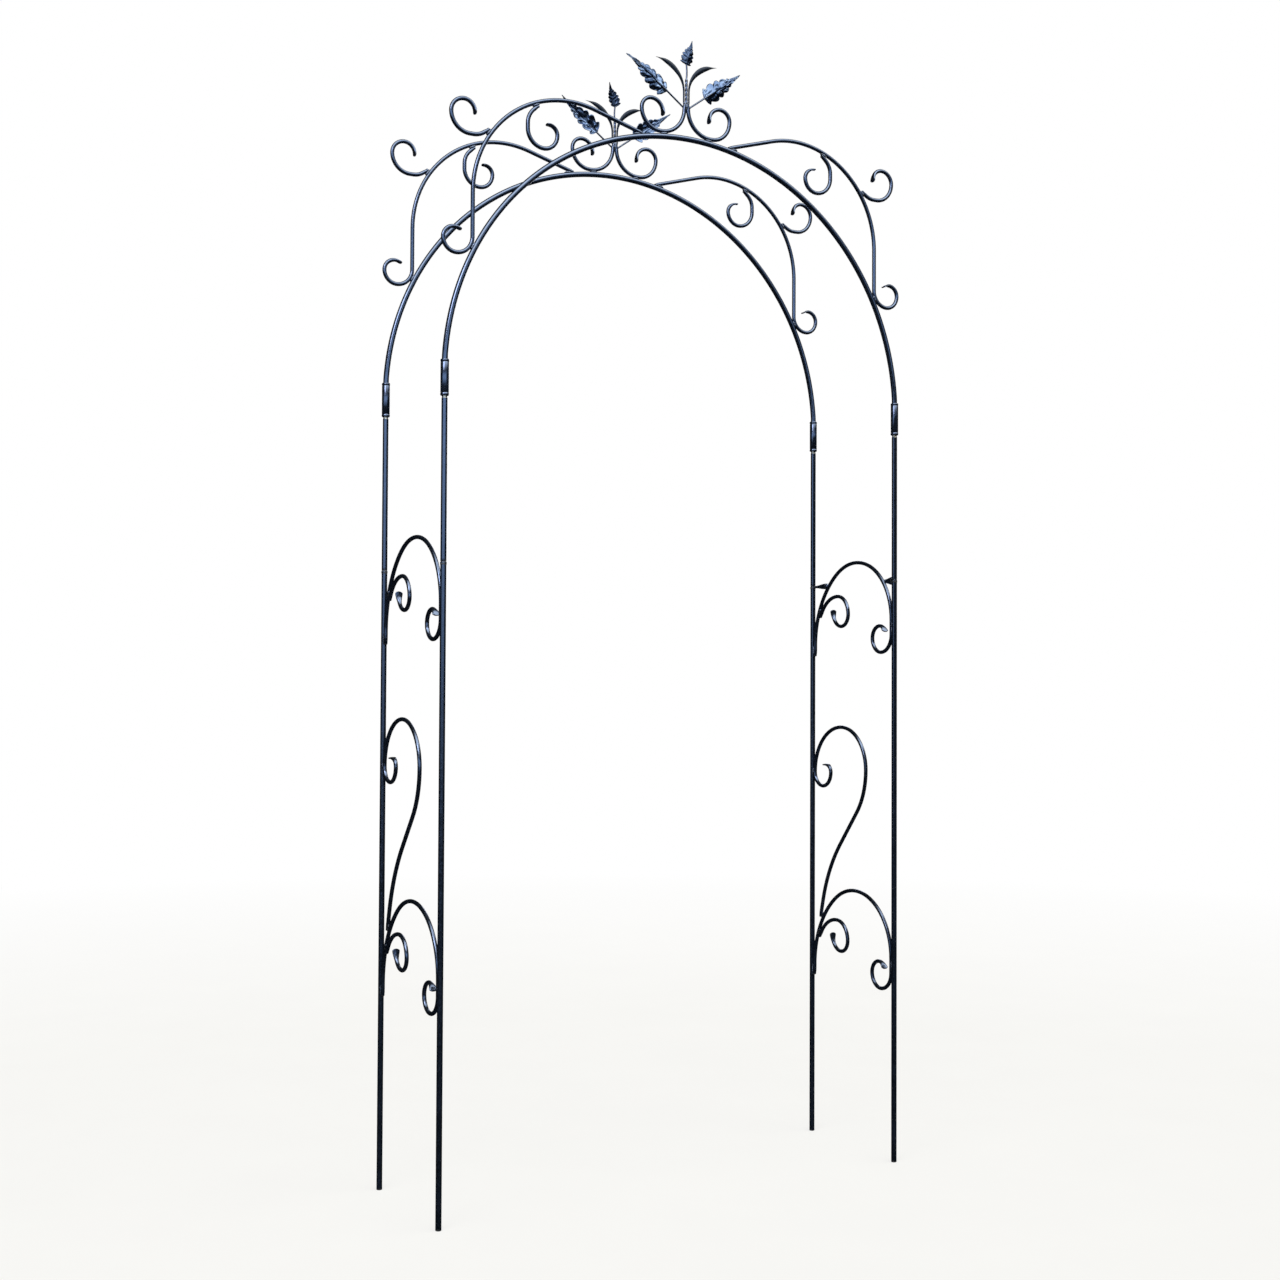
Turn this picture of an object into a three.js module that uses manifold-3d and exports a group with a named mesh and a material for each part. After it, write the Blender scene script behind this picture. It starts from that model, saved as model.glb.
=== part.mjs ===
// Garden trellis arch: two round-topped tube arches, one behind the other, on four slip-jointed legs.
// A ladder of forged scrolls ties the two legs of each side, and each bow carries branching
// scrolls and a leaf finial. X runs across the walkway, Y runs through it from the front arch
// to the back arch, +Z is up, and the origin is on the ground between the four feet.
// All sizes are in millimetres.
import * as THREE from 'three';
import { mergeVertices } from 'three/addons/utils/BufferGeometryUtils.js';
import Module from 'manifold-3d';

// Overall layout
const LEG_SPACING = 1200;
const ARCH_DEPTH = 356;
const HALF_WIDTH = LEG_SPACING / 2;
const HALF_DEPTH = ARCH_DEPTH / 2;

// Stock
const TUBE_RADIUS = 6.6;
const TUBE_WALL = 1.25;
const TUBE_SIDES = 10;
const BORE_SIDES = 6;
const ROD_RADIUS = 4.8;
const ROD_SIDES = 6;
const CLEARANCE = 0.3;
const CHORD_TOLERANCE = 0.7;

// Legs and their slip joints
const JOINT_HEIGHT = 1428;
const SPIGOT_RADIUS = 4.9;
const SPIGOT_BORE = 3.9;
const SPIGOT_LENGTH = 40;
const FOOT_PLUG = 14;
const FOOT_CHAMFER = 1.4;
const COLLAR_LENGTH = 6;
const COLLAR_PROUD = 0.6;

// Sleeves that join the legs to the bows
const SLEEVE_BOTTOM = 1787;
const SLEEVE_LENGTH = 80;
const SLEEVE_RADIUS = 9.5;
const SLEEVE_BORE = 7;
const SLEEVE_CHAMFER = 2;
const SLEEVE_TOP = SLEEVE_BOTTOM + SLEEVE_LENGTH;
const TUBE_BUTT = SLEEVE_BOTTOM + SLEEVE_LENGTH / 2;
const BUTT_GAP = 0.5;

// Bow: each end leans inward a little above its sleeve, then one round arc spans the walkway
const BOW_LEAN = 4.5;
const BOW_EASE_RADIUS = 200;

// Branching scrolls on each shoulder of a bow
const VINE_WELD_ANGLE = 12;
const VINE_RISE = 16;
const VINE_CROWN_RADIUS = 236;
const VINE_CURL_HEIGHT = 2140;
const VINE_CURL_RADII = [38, 31, 25];
const VINE_TIP_TURN = 25;
const CURL_TIP_TURN = 85;
const INNER_CURL_ANGLE = 20;
const INNER_CURL_RADII = [42, 40, 33, 22];
const INNER_CURL_RUN = 12;
const OUTER_CURL_ANGLE = 54;
const OUTER_CURL_RADII = [44, 45, 30, 26];
const OUTER_CURL_RUN = 8;

// Finial on the crown of each bow
const FINIAL_FOOT_RADIUS = 61;
const FINIAL_CURL_RADII = [48, 26, 30];
const FINIAL_RUN = 4;
const FINIAL_ROD_TOP = 13;
const LEAF_ANGLE = 36;
const LEAF_STALK = 48;
const LEAF_STALK_RADIUS = 2.2;
const LEAF_LENGTH = 126;
const LEAF_HALF_WIDTH = 23;
const LEAF_THICKNESS = 2.4;
const BUD_ANGLE = 73;
const BUD_LENGTH = 62;
const BUD_HALF_WIDTH = 15;
const BLADE_HALF_WIDTH = 6.5;
const BLADE_HALF_THICKNESS = 1.8;
const BLADE_ROOT = 2.2;
const BLADE_STANDOFF = 0.5;
const BLADE_RISE = 28;
const BLADE_ARCH = { radius: 62, turn: 38 };
const BLADE_DROOP = { radius: 78, turn: 42 };
const BLADE_TIP_RUNS = [9, 6];
const BLADE_BELLY = 1.7;
const BLADE_POINT_SHARE = 0.2;
const BLADE_POINT = 0.12;
const STEM_RADIUS = 4.2;
const STEM_WAIST = 3;
const STEM_BEADS = 5;
const BEAD_PITCH = 11;
const STEM_WIRE_RADIUS = 2;
const STEM_HEIGHT = 92;

// Scroll ladder between the front and the back leg of one side, measured from the hoop's crown.
// Each side was set out by hand, so its crowns and the S-scroll's straight have their own values.
const LADDERS = {
  left: { upper: 1493, lower: 682, straight: 96 },
  right: { upper: 1481, lower: 646, straight: 110 },
};
const HOOP_CROWN_OFFSET = -15;
const HOOP_BACK_TURN = 35;
const HOOP_FRONT_RUN = 36;
const HOOP_BACK_RUN = 28;
const HOOP_CURL_RADII = [43, 36, 30, 26];
const HOOP_CURL_ANGLE = 70;
const HOOP_TIP_TURN = 50;
const BRANCH_CURL_RADII = [82, 48, 30, 36];
const S_SCROLL_ANGLE = 57;
const S_SCROLL_HEADING = 104;
const S_SCROLL_LEAN = 130;
const S_SCROLL_RADII = [380, 170, 107, 36, 20];
const S_SCROLL_FOOT_RUN = 45;
const S_SCROLL_TIP_TURN = 95;

// Stays: tapered oval pins between the legs and the upper hoop of the right side, each taller than
// it is thick
const STAY_HEIGHT = 1427;
const STAY_STRETCH = 2;
const FRONT_STAY = { legRadius: 5.2, hoopRadius: 2.6, standoff: 10.8 };
const BACK_STAY = { legRadius: 1.4, hoopRadius: 3.8, standoff: 14 };

// Forged tips: the last stretch of a scroll is beaten flat and spreads across the scroll's plane
const TIP_RUN = 8;
const TIP_LENGTH = 30;
const TIP_THIN = 0.38;
const TIP_SPREAD = 2;
const TIP_CORNER = 0.7;
const SCARF_LENGTH = 24;
const SCARF_THIN = 0.45;

const legFace = HALF_DEPTH - TUBE_RADIUS - CLEARANCE;
const besideLeg = legFace - ROD_RADIUS;
const besideRod = 2 * ROD_RADIUS + CLEARANCE + CHORD_TOLERANCE;

const bowRadius = (HALF_WIDTH - BOW_EASE_RADIUS * (1 - cosine(BOW_LEAN))) / cosine(BOW_LEAN);
const bowCentre = SLEEVE_TOP + (BOW_EASE_RADIUS - bowRadius) * sine(BOW_LEAN);
const besideBow = bowRadius + TUBE_RADIUS + ROD_RADIUS + CLEARANCE;

const wasm = await Module();
wasm.setup();

function sine(degrees) {
  return Math.sin(THREE.MathUtils.degToRad(degrees));
}

function cosine(degrees) {
  return Math.cos(THREE.MathUtils.degToRad(degrees));
}

// The point at an angle clockwise from straight up on a circle around a centre.
function polar([x, y], radius, degrees) {
  return [x + radius * sine(degrees), y + radius * cosine(degrees)];
}

// ---------------------------------------------------------------------------
// Centre lines: a path is a start, a heading and a list of straight runs and round bends
// ---------------------------------------------------------------------------

function run(length, steps = 1) {
  return { length, turn: 0, steps };
}

// A bend to the left has a positive angle, a bend to the right a negative one.
function bend(radius, degrees) {
  const turn = THREE.MathUtils.degToRad(degrees);
  const stepAngle = 2 * Math.acos(1 - CHORD_TOLERANCE / radius);
  return { length: radius * Math.abs(turn), turn, steps: Math.ceil(Math.abs(turn) / stepAngle) };
}

class ScrollPath extends THREE.Curve {
  constructor([x, y], headingDegrees, moves) {
    super();
    this.parts = [];
    this.steps = 0;
    this.total = 0;
    let heading = THREE.MathUtils.degToRad(headingDegrees);
    for (const move of moves) {
      const part = { ...move, x, y, heading, first: this.steps, before: this.total };
      this.parts.push(part);
      ({ x, y } = this.pointOnPart(part, 1));
      heading += move.turn;
      this.steps += move.steps;
      this.total += move.length;
    }
  }

  pointOnPart(part, fraction) {
    const { x, y, heading, length, turn } = part;
    if (turn === 0) {
      const travel = length * fraction;
      return new THREE.Vector3(x + travel * Math.cos(heading), y + travel * Math.sin(heading), 0);
    }
    const radius = length / turn;
    const turned = heading + turn * fraction;
    return new THREE.Vector3(
      x + radius * (Math.sin(turned) - Math.sin(heading)),
      y - radius * (Math.cos(turned) - Math.cos(heading)),
      0,
    );
  }

  locate(t) {
    const station = t * this.steps;
    const part = this.parts.find((p) => station <= p.first + p.steps + 1e-9) ?? this.parts.at(-1);
    return { part, fraction: (station - part.first) / part.steps };
  }

  getPoint(t) {
    const { part, fraction } = this.locate(t);
    return this.pointOnPart(part, fraction);
  }

  getTangent(t) {
    const { part, fraction } = this.locate(t);
    const heading = part.heading + part.turn * fraction;
    return new THREE.Vector3(Math.cos(heading), Math.sin(heading), 0);
  }

  distanceAt(t) {
    const { part, fraction } = this.locate(t);
    return part.before + part.length * fraction;
  }

  // Stations follow the bends, so that tight curls get short steps and straight runs long ones.
  getUtoTmapping(u) {
    return u;
  }
}

// ---------------------------------------------------------------------------
// Solids
// ---------------------------------------------------------------------------

function ring(radius, sides) {
  const points = [];
  for (let i = 0; i < sides; i += 1) {
    const angle = ((i + 0.5) / sides) * 2 * Math.PI;
    points.push(new THREE.Vector2(radius * Math.cos(angle), radius * Math.sin(angle)));
  }
  return points;
}

function sweep(path, shape) {
  return new THREE.ExtrudeGeometry(shape, { steps: path.steps, extrudePath: path });
}

// Scales the section of a swept rod along its length: section(distance, total) returns the
// factor in the plane of the path and the factor across it.
function shapeSection(geometry, path, section) {
  const stations = path.getSpacedPoints(path.steps);
  const vertices = geometry.attributes.position;
  const vertex = new THREE.Vector3();
  for (let i = 0; i < vertices.count; i += 1) {
    vertex.fromBufferAttribute(vertices, i);
    let nearest = 0;
    stations.forEach((station, index) => {
      if (station.distanceTo(vertex) < stations[nearest].distanceTo(vertex) - 1e-6) {
        nearest = index;
      }
    });
    const [inPlane, across] = section(path.distanceAt(nearest / path.steps), path.total);
    const station = stations[nearest];
    vertex.sub(station);
    vertices.setXYZ(i, station.x + vertex.x * inPlane, station.y + vertex.y * inPlane, vertex.z * across);
  }
  return geometry;
}

function forgedTip(fromEnd) {
  if (fromEnd >= TIP_LENGTH) {
    return [1, 1];
  }
  const beaten = 1 - fromEnd / TIP_LENGTH;
  const rounding = fromEnd === 0 ? TIP_CORNER : 1;
  return [1 - (1 - TIP_THIN) * beaten, (1 + (TIP_SPREAD - 1) * beaten) * rounding];
}

// A rod whose far end is a forged tip and whose near end is scarfed to lie against its parent.
function scrollRod(path) {
  const geometry = sweep(path, new THREE.Shape(ring(ROD_RADIUS, ROD_SIDES)));
  return shapeSection(geometry, path, (distance, total) => {
    const [inPlane, across] = forgedTip(total - distance);
    const scarf = Math.min(distance / SCARF_LENGTH, 1);
    return [inPlane * (SCARF_THIN + (1 - SCARF_THIN) * scarf), across];
  });
}

function turned(profile, segments = TUBE_SIDES) {
  const points = profile.map(([radius, height]) => new THREE.Vector2(radius, height));
  return new THREE.LatheGeometry(points, segments, Math.PI / segments).rotateX(Math.PI / 2);
}

function toManifold(geometry) {
  const bare = geometry.clone();
  bare.deleteAttribute('normal');
  bare.deleteAttribute('uv');
  const merged = mergeVertices(bare, 1e-3);
  return new wasm.Manifold(new wasm.Mesh({
    numProp: 3,
    vertProperties: new Float32Array(merged.attributes.position.array),
    triVerts: new Uint32Array(merged.index.array),
  }));
}

function join(first, second) {
  const mesh = toManifold(first).add(toManifold(second)).getMesh();
  const geometry = new THREE.BufferGeometry();
  geometry.setAttribute('position', new THREE.BufferAttribute(mesh.vertProperties, 3));
  geometry.setIndex(new THREE.BufferAttribute(mesh.triVerts, 1));
  return geometry;
}

// ---------------------------------------------------------------------------
// Legs, sleeves and bows
// ---------------------------------------------------------------------------

const boreRadius = TUBE_RADIUS - TUBE_WALL;

function lowerLeg() {
  return turned([
    [0, 0],
    [TUBE_RADIUS - FOOT_CHAMFER, 0],
    [TUBE_RADIUS, FOOT_CHAMFER],
    [TUBE_RADIUS, JOINT_HEIGHT - COLLAR_LENGTH],
    [TUBE_RADIUS + COLLAR_PROUD, JOINT_HEIGHT - COLLAR_LENGTH + COLLAR_PROUD],
    [TUBE_RADIUS + COLLAR_PROUD, JOINT_HEIGHT - COLLAR_PROUD],
    [TUBE_RADIUS, JOINT_HEIGHT],
    [boreRadius, JOINT_HEIGHT],
    [boreRadius, FOOT_PLUG],
    [0, FOOT_PLUG],
  ]);
}

function upperLeg() {
  const shoulder = JOINT_HEIGHT + CLEARANCE;
  const tip = JOINT_HEIGHT - SPIGOT_LENGTH;
  const top = TUBE_BUTT - BUTT_GAP;
  const taper = TUBE_RADIUS - SPIGOT_RADIUS;
  return turned([
    [SPIGOT_BORE, tip],
    [SPIGOT_RADIUS, tip],
    [SPIGOT_RADIUS, shoulder],
    [TUBE_RADIUS, shoulder + taper],
    [TUBE_RADIUS, top],
    [boreRadius, top],
    [boreRadius, shoulder + 2 * taper],
    [SPIGOT_BORE, shoulder + taper],
    [SPIGOT_BORE, tip],
  ]);
}

function sleeve() {
  return turned([
    [SLEEVE_BORE, SLEEVE_BOTTOM],
    [SLEEVE_RADIUS - SLEEVE_CHAMFER, SLEEVE_BOTTOM],
    [SLEEVE_RADIUS, SLEEVE_BOTTOM + SLEEVE_CHAMFER],
    [SLEEVE_RADIUS, SLEEVE_TOP - SLEEVE_CHAMFER],
    [SLEEVE_RADIUS - SLEEVE_CHAMFER, SLEEVE_TOP],
    [SLEEVE_BORE, SLEEVE_TOP],
    [SLEEVE_BORE, SLEEVE_BOTTOM],
  ]);
}

function bow() {
  const socket = SLEEVE_TOP - TUBE_BUTT - BUTT_GAP;
  const path = new ScrollPath([-HALF_WIDTH, TUBE_BUTT + BUTT_GAP], 90, [
    run(socket),
    bend(BOW_EASE_RADIUS, -BOW_LEAN),
    bend(bowRadius, 2 * BOW_LEAN - 180),
    bend(BOW_EASE_RADIUS, -BOW_LEAN),
    run(socket),
  ]);
  const tube = new THREE.Shape(ring(TUBE_RADIUS, TUBE_SIDES));
  tube.holes.push(new THREE.Path(ring(boreRadius, BORE_SIDES)));
  return sweep(path, tube);
}

// ---------------------------------------------------------------------------
// Branching scrolls on a bow's shoulder: X is the distance from the bow's middle, Y the height
// ---------------------------------------------------------------------------

const vineCurlX = Math.sqrt((besideBow + VINE_CURL_RADII[0]) ** 2 - (VINE_CURL_HEIGHT - bowCentre) ** 2);
const vineDropX = vineCurlX - VINE_CURL_RADII[0];
const vineCrownX = vineDropX - VINE_CROWN_RADIUS;
const vineStart = polar([0, bowCentre], besideBow, VINE_WELD_ANGLE);
const vineRiseLength = (vineCrownX - VINE_CROWN_RADIUS * sine(VINE_RISE) - vineStart[0]) / cosine(VINE_RISE);
const vineCrownZ = vineStart[1] + vineRiseLength * sine(VINE_RISE)
  - VINE_CROWN_RADIUS * cosine(VINE_RISE);

function vine() {
  const [first, second, third] = VINE_CURL_RADII;
  return scrollRod(new ScrollPath(vineStart, VINE_RISE, [
    run(vineRiseLength / 4),
    run(vineRiseLength * 3 / 4),
    bend(VINE_CROWN_RADIUS, -VINE_RISE - 90),
    run(vineCrownZ - VINE_CURL_HEIGHT),
    bend(first, 90),
    bend(second, 90),
    bend(third, 90),
    bend(third, VINE_TIP_TURN),
    run(TIP_RUN),
  ]));
}

function vineInnerCurl() {
  const [first, second, third, fourth] = INNER_CURL_RADII;
  const start = polar([vineCrownX, vineCrownZ], VINE_CROWN_RADIUS - besideRod, INNER_CURL_ANGLE);
  return scrollRod(new ScrollPath(start, -INNER_CURL_ANGLE, [
    bend(first, INNER_CURL_ANGLE - 90),
    run(INNER_CURL_RUN),
    bend(second, -90),
    bend(third, -90),
    bend(fourth, -CURL_TIP_TURN),
    run(TIP_RUN),
  ]));
}

function vineOuterCurl() {
  const [first, second, third, fourth] = OUTER_CURL_RADII;
  const start = polar([vineCrownX, vineCrownZ], VINE_CROWN_RADIUS + besideRod, OUTER_CURL_ANGLE);
  return scrollRod(new ScrollPath(start, -OUTER_CURL_ANGLE, [
    bend(first, OUTER_CURL_ANGLE),
    run(OUTER_CURL_RUN),
    bend(second, 90),
    bend(third, 90),
    bend(fourth, CURL_TIP_TURN),
    run(TIP_RUN),
  ]));
}

// ---------------------------------------------------------------------------
// Finial: X is the distance from the bow's middle, Y the height above the knot of the scrolls
// ---------------------------------------------------------------------------

const finialRodX = ROD_RADIUS + CLEARANCE;
const finialFootX = finialRodX + FINIAL_FOOT_RADIUS;
const finialKnot = bowCentre + Math.sqrt((besideBow + FINIAL_FOOT_RADIUS) ** 2 - finialFootX ** 2);

function finialScroll() {
  const [first, second, third] = FINIAL_CURL_RADII;
  return scrollRod(new ScrollPath([finialRodX, FINIAL_ROD_TOP], -90, [
    run(FINIAL_ROD_TOP),
    bend(FINIAL_FOOT_RADIUS, 90),
    run(FINIAL_RUN),
    bend(first, 90),
    bend(second, 90),
    bend(third, 90),
    run(TIP_RUN),
  ]));
}

// A slim pointed blade that springs up beside the stem and arches outward.
function finialBlade() {
  const path = new ScrollPath([STEM_RADIUS + BLADE_ROOT + BLADE_STANDOFF, FINIAL_ROD_TOP + CLEARANCE], 90, [
    run(BLADE_RISE),
    bend(BLADE_ARCH.radius, -BLADE_ARCH.turn),
    bend(BLADE_DROOP.radius, -BLADE_DROOP.turn),
    ...BLADE_TIP_RUNS.map((length) => run(length)),
  ]);
  const geometry = sweep(path, new THREE.Shape(ring(1, ROD_SIDES)));
  return shapeSection(geometry, path, (distance, total) => {
    const along = distance / total;
    const swell = Math.sin(Math.PI * along ** BLADE_BELLY) ** 2;
    const width = BLADE_ROOT + (BLADE_HALF_WIDTH - BLADE_ROOT) * swell;
    const point = Math.min(1, (1 - along) / BLADE_POINT_SHARE + BLADE_POINT);
    return [width * point, BLADE_HALF_THICKNESS * point];
  });
}

// Beaded stem with a plain wire above it, standing on the ends of the two scrolls.
function finialStem() {
  const foot = FINIAL_ROD_TOP + CLEARANCE;
  const profile = [[0, foot]];
  for (let bead = 0; bead < STEM_BEADS; bead += 1) {
    const base = foot + bead * BEAD_PITCH;
    profile.push([STEM_WAIST, base], [STEM_RADIUS, base + BEAD_PITCH / 3]);
    profile.push([STEM_RADIUS, base + BEAD_PITCH * 2 / 3]);
  }
  const beadTop = foot + STEM_BEADS * BEAD_PITCH;
  profile.push([STEM_WAIST, beadTop], [STEM_WIRE_RADIUS, beadTop + BEAD_PITCH / 2]);
  profile.push([STEM_WIRE_RADIUS, foot + STEM_HEIGHT], [0, foot + STEM_HEIGHT]);
  return turned(profile, BORE_SIDES).rotateX(-Math.PI / 2);
}

// Outline of a lobed leaf from its base at the origin to its long tip on +X. Each lobe is a
// notch and a forward-pointing lobe tip, as shares of the length and of the half width.
function leafOutline(length, halfWidth) {
  const lobes = [
    { notch: [0.02, 0.35], lobe: [0.1, 0.85] },
    { notch: [0.17, 0.72], lobe: [0.29, 1] },
    { notch: [0.33, 0.68], lobe: [0.46, 0.82] },
    { notch: [0.48, 0.48], lobe: [0.62, 0.5] },
    { notch: [0.64, 0.24], lobe: [0.76, 0.2] },
  ];
  const upper = lobes.flatMap(({ notch, lobe }) => [notch, lobe]);
  const side = (sign) => upper.map(([x, y]) => new THREE.Vector2(x * length, sign * y * halfWidth));
  const base = new THREE.Vector2(0, 0);
  const tip = new THREE.Vector2(length, 0);
  return new THREE.Shape([base, ...side(-1), tip, ...side(1).reverse()]);
}

function leafPlate(length, halfWidth) {
  const plate = new THREE.ExtrudeGeometry(leafOutline(length, halfWidth), {
    depth: LEAF_THICKNESS,
    bevelEnabled: false,
  });
  return plate.translate(0, 0, -LEAF_THICKNESS / 2);
}

function finialLeaf() {
  const stalkPath = new ScrollPath([0, 0], 0, [run(LEAF_STALK + LEAF_LENGTH / 4)]);
  const stalk = sweep(stalkPath, new THREE.Shape(ring(LEAF_STALK_RADIUS, ROD_SIDES)));
  const leaf = join(stalk, leafPlate(LEAF_LENGTH, LEAF_HALF_WIDTH).translate(LEAF_STALK, 0, 0));
  const reach = finialRodX + ROD_RADIUS + LEAF_STALK_RADIUS;
  return leaf.rotateZ(THREE.MathUtils.degToRad(LEAF_ANGLE)).translate(reach, FINIAL_ROD_TOP / 2, 0);
}

function finialBud() {
  const base = FINIAL_ROD_TOP + STEM_HEIGHT + 2 * CLEARANCE;
  const bud = leafPlate(BUD_LENGTH, BUD_HALF_WIDTH).rotateZ(THREE.MathUtils.degToRad(BUD_ANGLE));
  bud.computeBoundingBox();
  return bud.translate(0, base - bud.boundingBox.min.y, 0);
}

// ---------------------------------------------------------------------------
// Scroll ladder: X runs from the front leg to the back leg, Y is the height above a hoop's crown
// ---------------------------------------------------------------------------

const hoopCrownRadius = besideLeg + HOOP_CROWN_OFFSET;
const hoopShoulder = [
  HOOP_CROWN_OFFSET + hoopCrownRadius * sine(HOOP_BACK_TURN),
  hoopCrownRadius * (cosine(HOOP_BACK_TURN) - 1),
];
const hoopBackRadius = (besideLeg - hoopShoulder[0]) / (1 - sine(HOOP_BACK_TURN));
const hoopBackCentre = [
  hoopShoulder[0] - hoopBackRadius * sine(HOOP_BACK_TURN),
  hoopShoulder[1] - hoopBackRadius * cosine(HOOP_BACK_TURN),
];

// One rod from its foot on the back leg, over the crown, down the front leg and into a curl.
function hoop() {
  const [first, second, third, fourth] = HOOP_CURL_RADII;
  const foot = [besideLeg, hoopBackCentre[1] - HOOP_BACK_RUN];
  return scrollRod(new ScrollPath(foot, 90, [
    run(HOOP_BACK_RUN),
    bend(hoopBackRadius, 90 - HOOP_BACK_TURN),
    bend(hoopCrownRadius, HOOP_BACK_TURN + 90),
    run(HOOP_FRONT_RUN),
    bend(first, 90),
    bend(second, 90),
    bend(third, 90),
    bend(fourth, HOOP_TIP_TURN),
    run(TIP_RUN),
  ]));
}

function branchCurl() {
  const [first, second, third, fourth] = BRANCH_CURL_RADII;
  const start = polar(hoopBackCentre, hoopBackRadius - besideRod, HOOP_CURL_ANGLE);
  return scrollRod(new ScrollPath(start, 180 - HOOP_CURL_ANGLE, [
    bend(first, HOOP_CURL_ANGLE),
    bend(second, 90),
    bend(third, 90),
    bend(fourth, 90),
    run(TIP_RUN),
  ]));
}

// Rises from the lower hoop, swings towards the front leg and curls over against the back leg.
function sScroll(straight) {
  const start = polar(hoopBackCentre, hoopBackRadius + besideRod, S_SCROLL_ANGLE);
  const [foot, waist, shoulder, curl, eye] = S_SCROLL_RADII;
  const rising = [
    run(S_SCROLL_FOOT_RUN),
    bend(foot, S_SCROLL_LEAN - S_SCROLL_HEADING),
    run(straight),
    bend(waist, 90 - S_SCROLL_LEAN),
    bend(shoulder, -90),
  ];
  const crown = new ScrollPath(start, S_SCROLL_HEADING, rising).getPoint(1);
  return scrollRod(new ScrollPath(start, S_SCROLL_HEADING, [
    ...rising,
    bend(besideLeg - crown.x, -90),
    bend(curl, -180),
    bend(eye, -S_SCROLL_TIP_TURN),
    run(TIP_RUN),
  ]));
}

function pin(from, to, fromRadius, toRadius) {
  const cone = new THREE.CylinderGeometry(toRadius, fromRadius, to - from, ROD_SIDES);
  cone.rotateZ(-Math.PI / 2).scale(1, STAY_STRETCH, 1);
  return cone.translate((from + to) / 2, STAY_HEIGHT, 0);
}

const stayDrop = LADDERS.right.upper - STAY_HEIGHT;

function frontStay() {
  const { legRadius, hoopRadius, standoff } = FRONT_STAY;
  const reach = Math.sqrt(hoopCrownRadius ** 2 - (hoopCrownRadius - stayDrop) ** 2);
  return pin(-legFace, HOOP_CROWN_OFFSET - reach - standoff, legRadius, hoopRadius);
}

function backStay() {
  const { legRadius, hoopRadius, standoff } = BACK_STAY;
  const [centreX, centreY] = hoopBackCentre;
  const reach = Math.sqrt(hoopBackRadius ** 2 - (centreY + stayDrop) ** 2);
  return pin(centreX + reach + standoff, legFace, hoopRadius, legRadius);
}

// ---------------------------------------------------------------------------
// Assembly
// ---------------------------------------------------------------------------

const group = new THREE.Group();

function addPiece(parent, name, geometry, position = [0, 0, 0]) {
  const enamel = new THREE.MeshStandardMaterial({ color: 0x15171d, roughness: 0.38, metalness: 0.55 });
  const mesh = new THREE.Mesh(geometry, enamel);
  mesh.name = name;
  mesh.position.set(...position);
  parent.add(mesh);
  return mesh;
}

for (const [row, y] of [['front', -HALF_DEPTH], ['back', HALF_DEPTH]]) {
  for (const [side, x] of [['left', -HALF_WIDTH], ['right', HALF_WIDTH]]) {
    addPiece(group, `lower_leg_${row}_${side}`, lowerLeg(), [x, y, 0]);
    addPiece(group, `upper_leg_${row}_${side}`, upperLeg(), [x, y, 0]);
    addPiece(group, `sleeve_${row}_${side}`, sleeve(), [x, y, 0]);
  }
}

// A bow with its scrolls stands in the X-Z plane. The back bow is the front one turned about.
for (const [row, y, facing, sides] of [
  ['front', -HALF_DEPTH, 0, ['right', 'left']],
  ['back', HALF_DEPTH, Math.PI, ['left', 'right']],
]) {
  const arch = new THREE.Group();
  arch.position.y = y;
  arch.rotation.z = facing;
  group.add(arch);
  const upright = new THREE.Group();
  upright.rotation.x = Math.PI / 2;
  arch.add(upright);
  addPiece(upright, `bow_${row}`, bow());
  addPiece(upright, `finial_stem_${row}`, finialStem(), [0, finialKnot, 0]);
  addPiece(upright, `finial_bud_${row}`, finialBud(), [0, finialKnot, 0]);
  sides.forEach((side, index) => {
    const half = new THREE.Group();
    half.rotation.y = index * Math.PI;
    upright.add(half);
    addPiece(half, `vine_${row}_${side}`, vine());
    addPiece(half, `vine_inner_curl_${row}_${side}`, vineInnerCurl());
    addPiece(half, `vine_outer_curl_${row}_${side}`, vineOuterCurl());
    addPiece(half, `finial_scroll_${row}_${side}`, finialScroll(), [0, finialKnot, 0]);
    addPiece(half, `finial_blade_${row}_${side}`, finialBlade(), [0, finialKnot, 0]);
    addPiece(half, `finial_leaf_${row}_${side}`, finialLeaf(), [0, finialKnot, 0]);
  });
}

// A ladder lies in the Y-Z plane of its two legs.
const ladderBasis = new THREE.Matrix4().makeBasis(
  new THREE.Vector3(0, 1, 0),
  new THREE.Vector3(0, 0, 1),
  new THREE.Vector3(1, 0, 0),
);
for (const [side, x] of [['left', -HALF_WIDTH], ['right', HALF_WIDTH]]) {
  const ladder = new THREE.Group();
  ladder.quaternion.setFromRotationMatrix(ladderBasis);
  ladder.position.x = x;
  group.add(ladder);
  const { upper, lower, straight } = LADDERS[side];
  for (const [level, crown] of [['upper', upper], ['lower', lower]]) {
    addPiece(ladder, `hoop_${level}_${side}`, hoop(), [0, crown, 0]);
    addPiece(ladder, `branch_curl_${level}_${side}`, branchCurl(), [0, crown, 0]);
  }
  addPiece(ladder, `s_scroll_${side}`, sScroll(straight), [0, lower, 0]);
  if (side === 'right') {
    addPiece(ladder, 'hoop_stay_front', frontStay());
    addPiece(ladder, 'hoop_stay_back', backStay());
  }
}

export default group;
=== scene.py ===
# Looks of a garden trellis arch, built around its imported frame: drawn tube, forged scrolls, weld
# beads, a twisted stem and pressed leaves, all in black enamel. Lengths are in metres. X runs across
# the walkway, Y runs through it from the front arch to the back arch, and +Z is up.
import math
from bisect import bisect_right
from collections import namedtuple

import bmesh
import bpy
from mathutils import Matrix, Quaternion, Vector, noise


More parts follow.
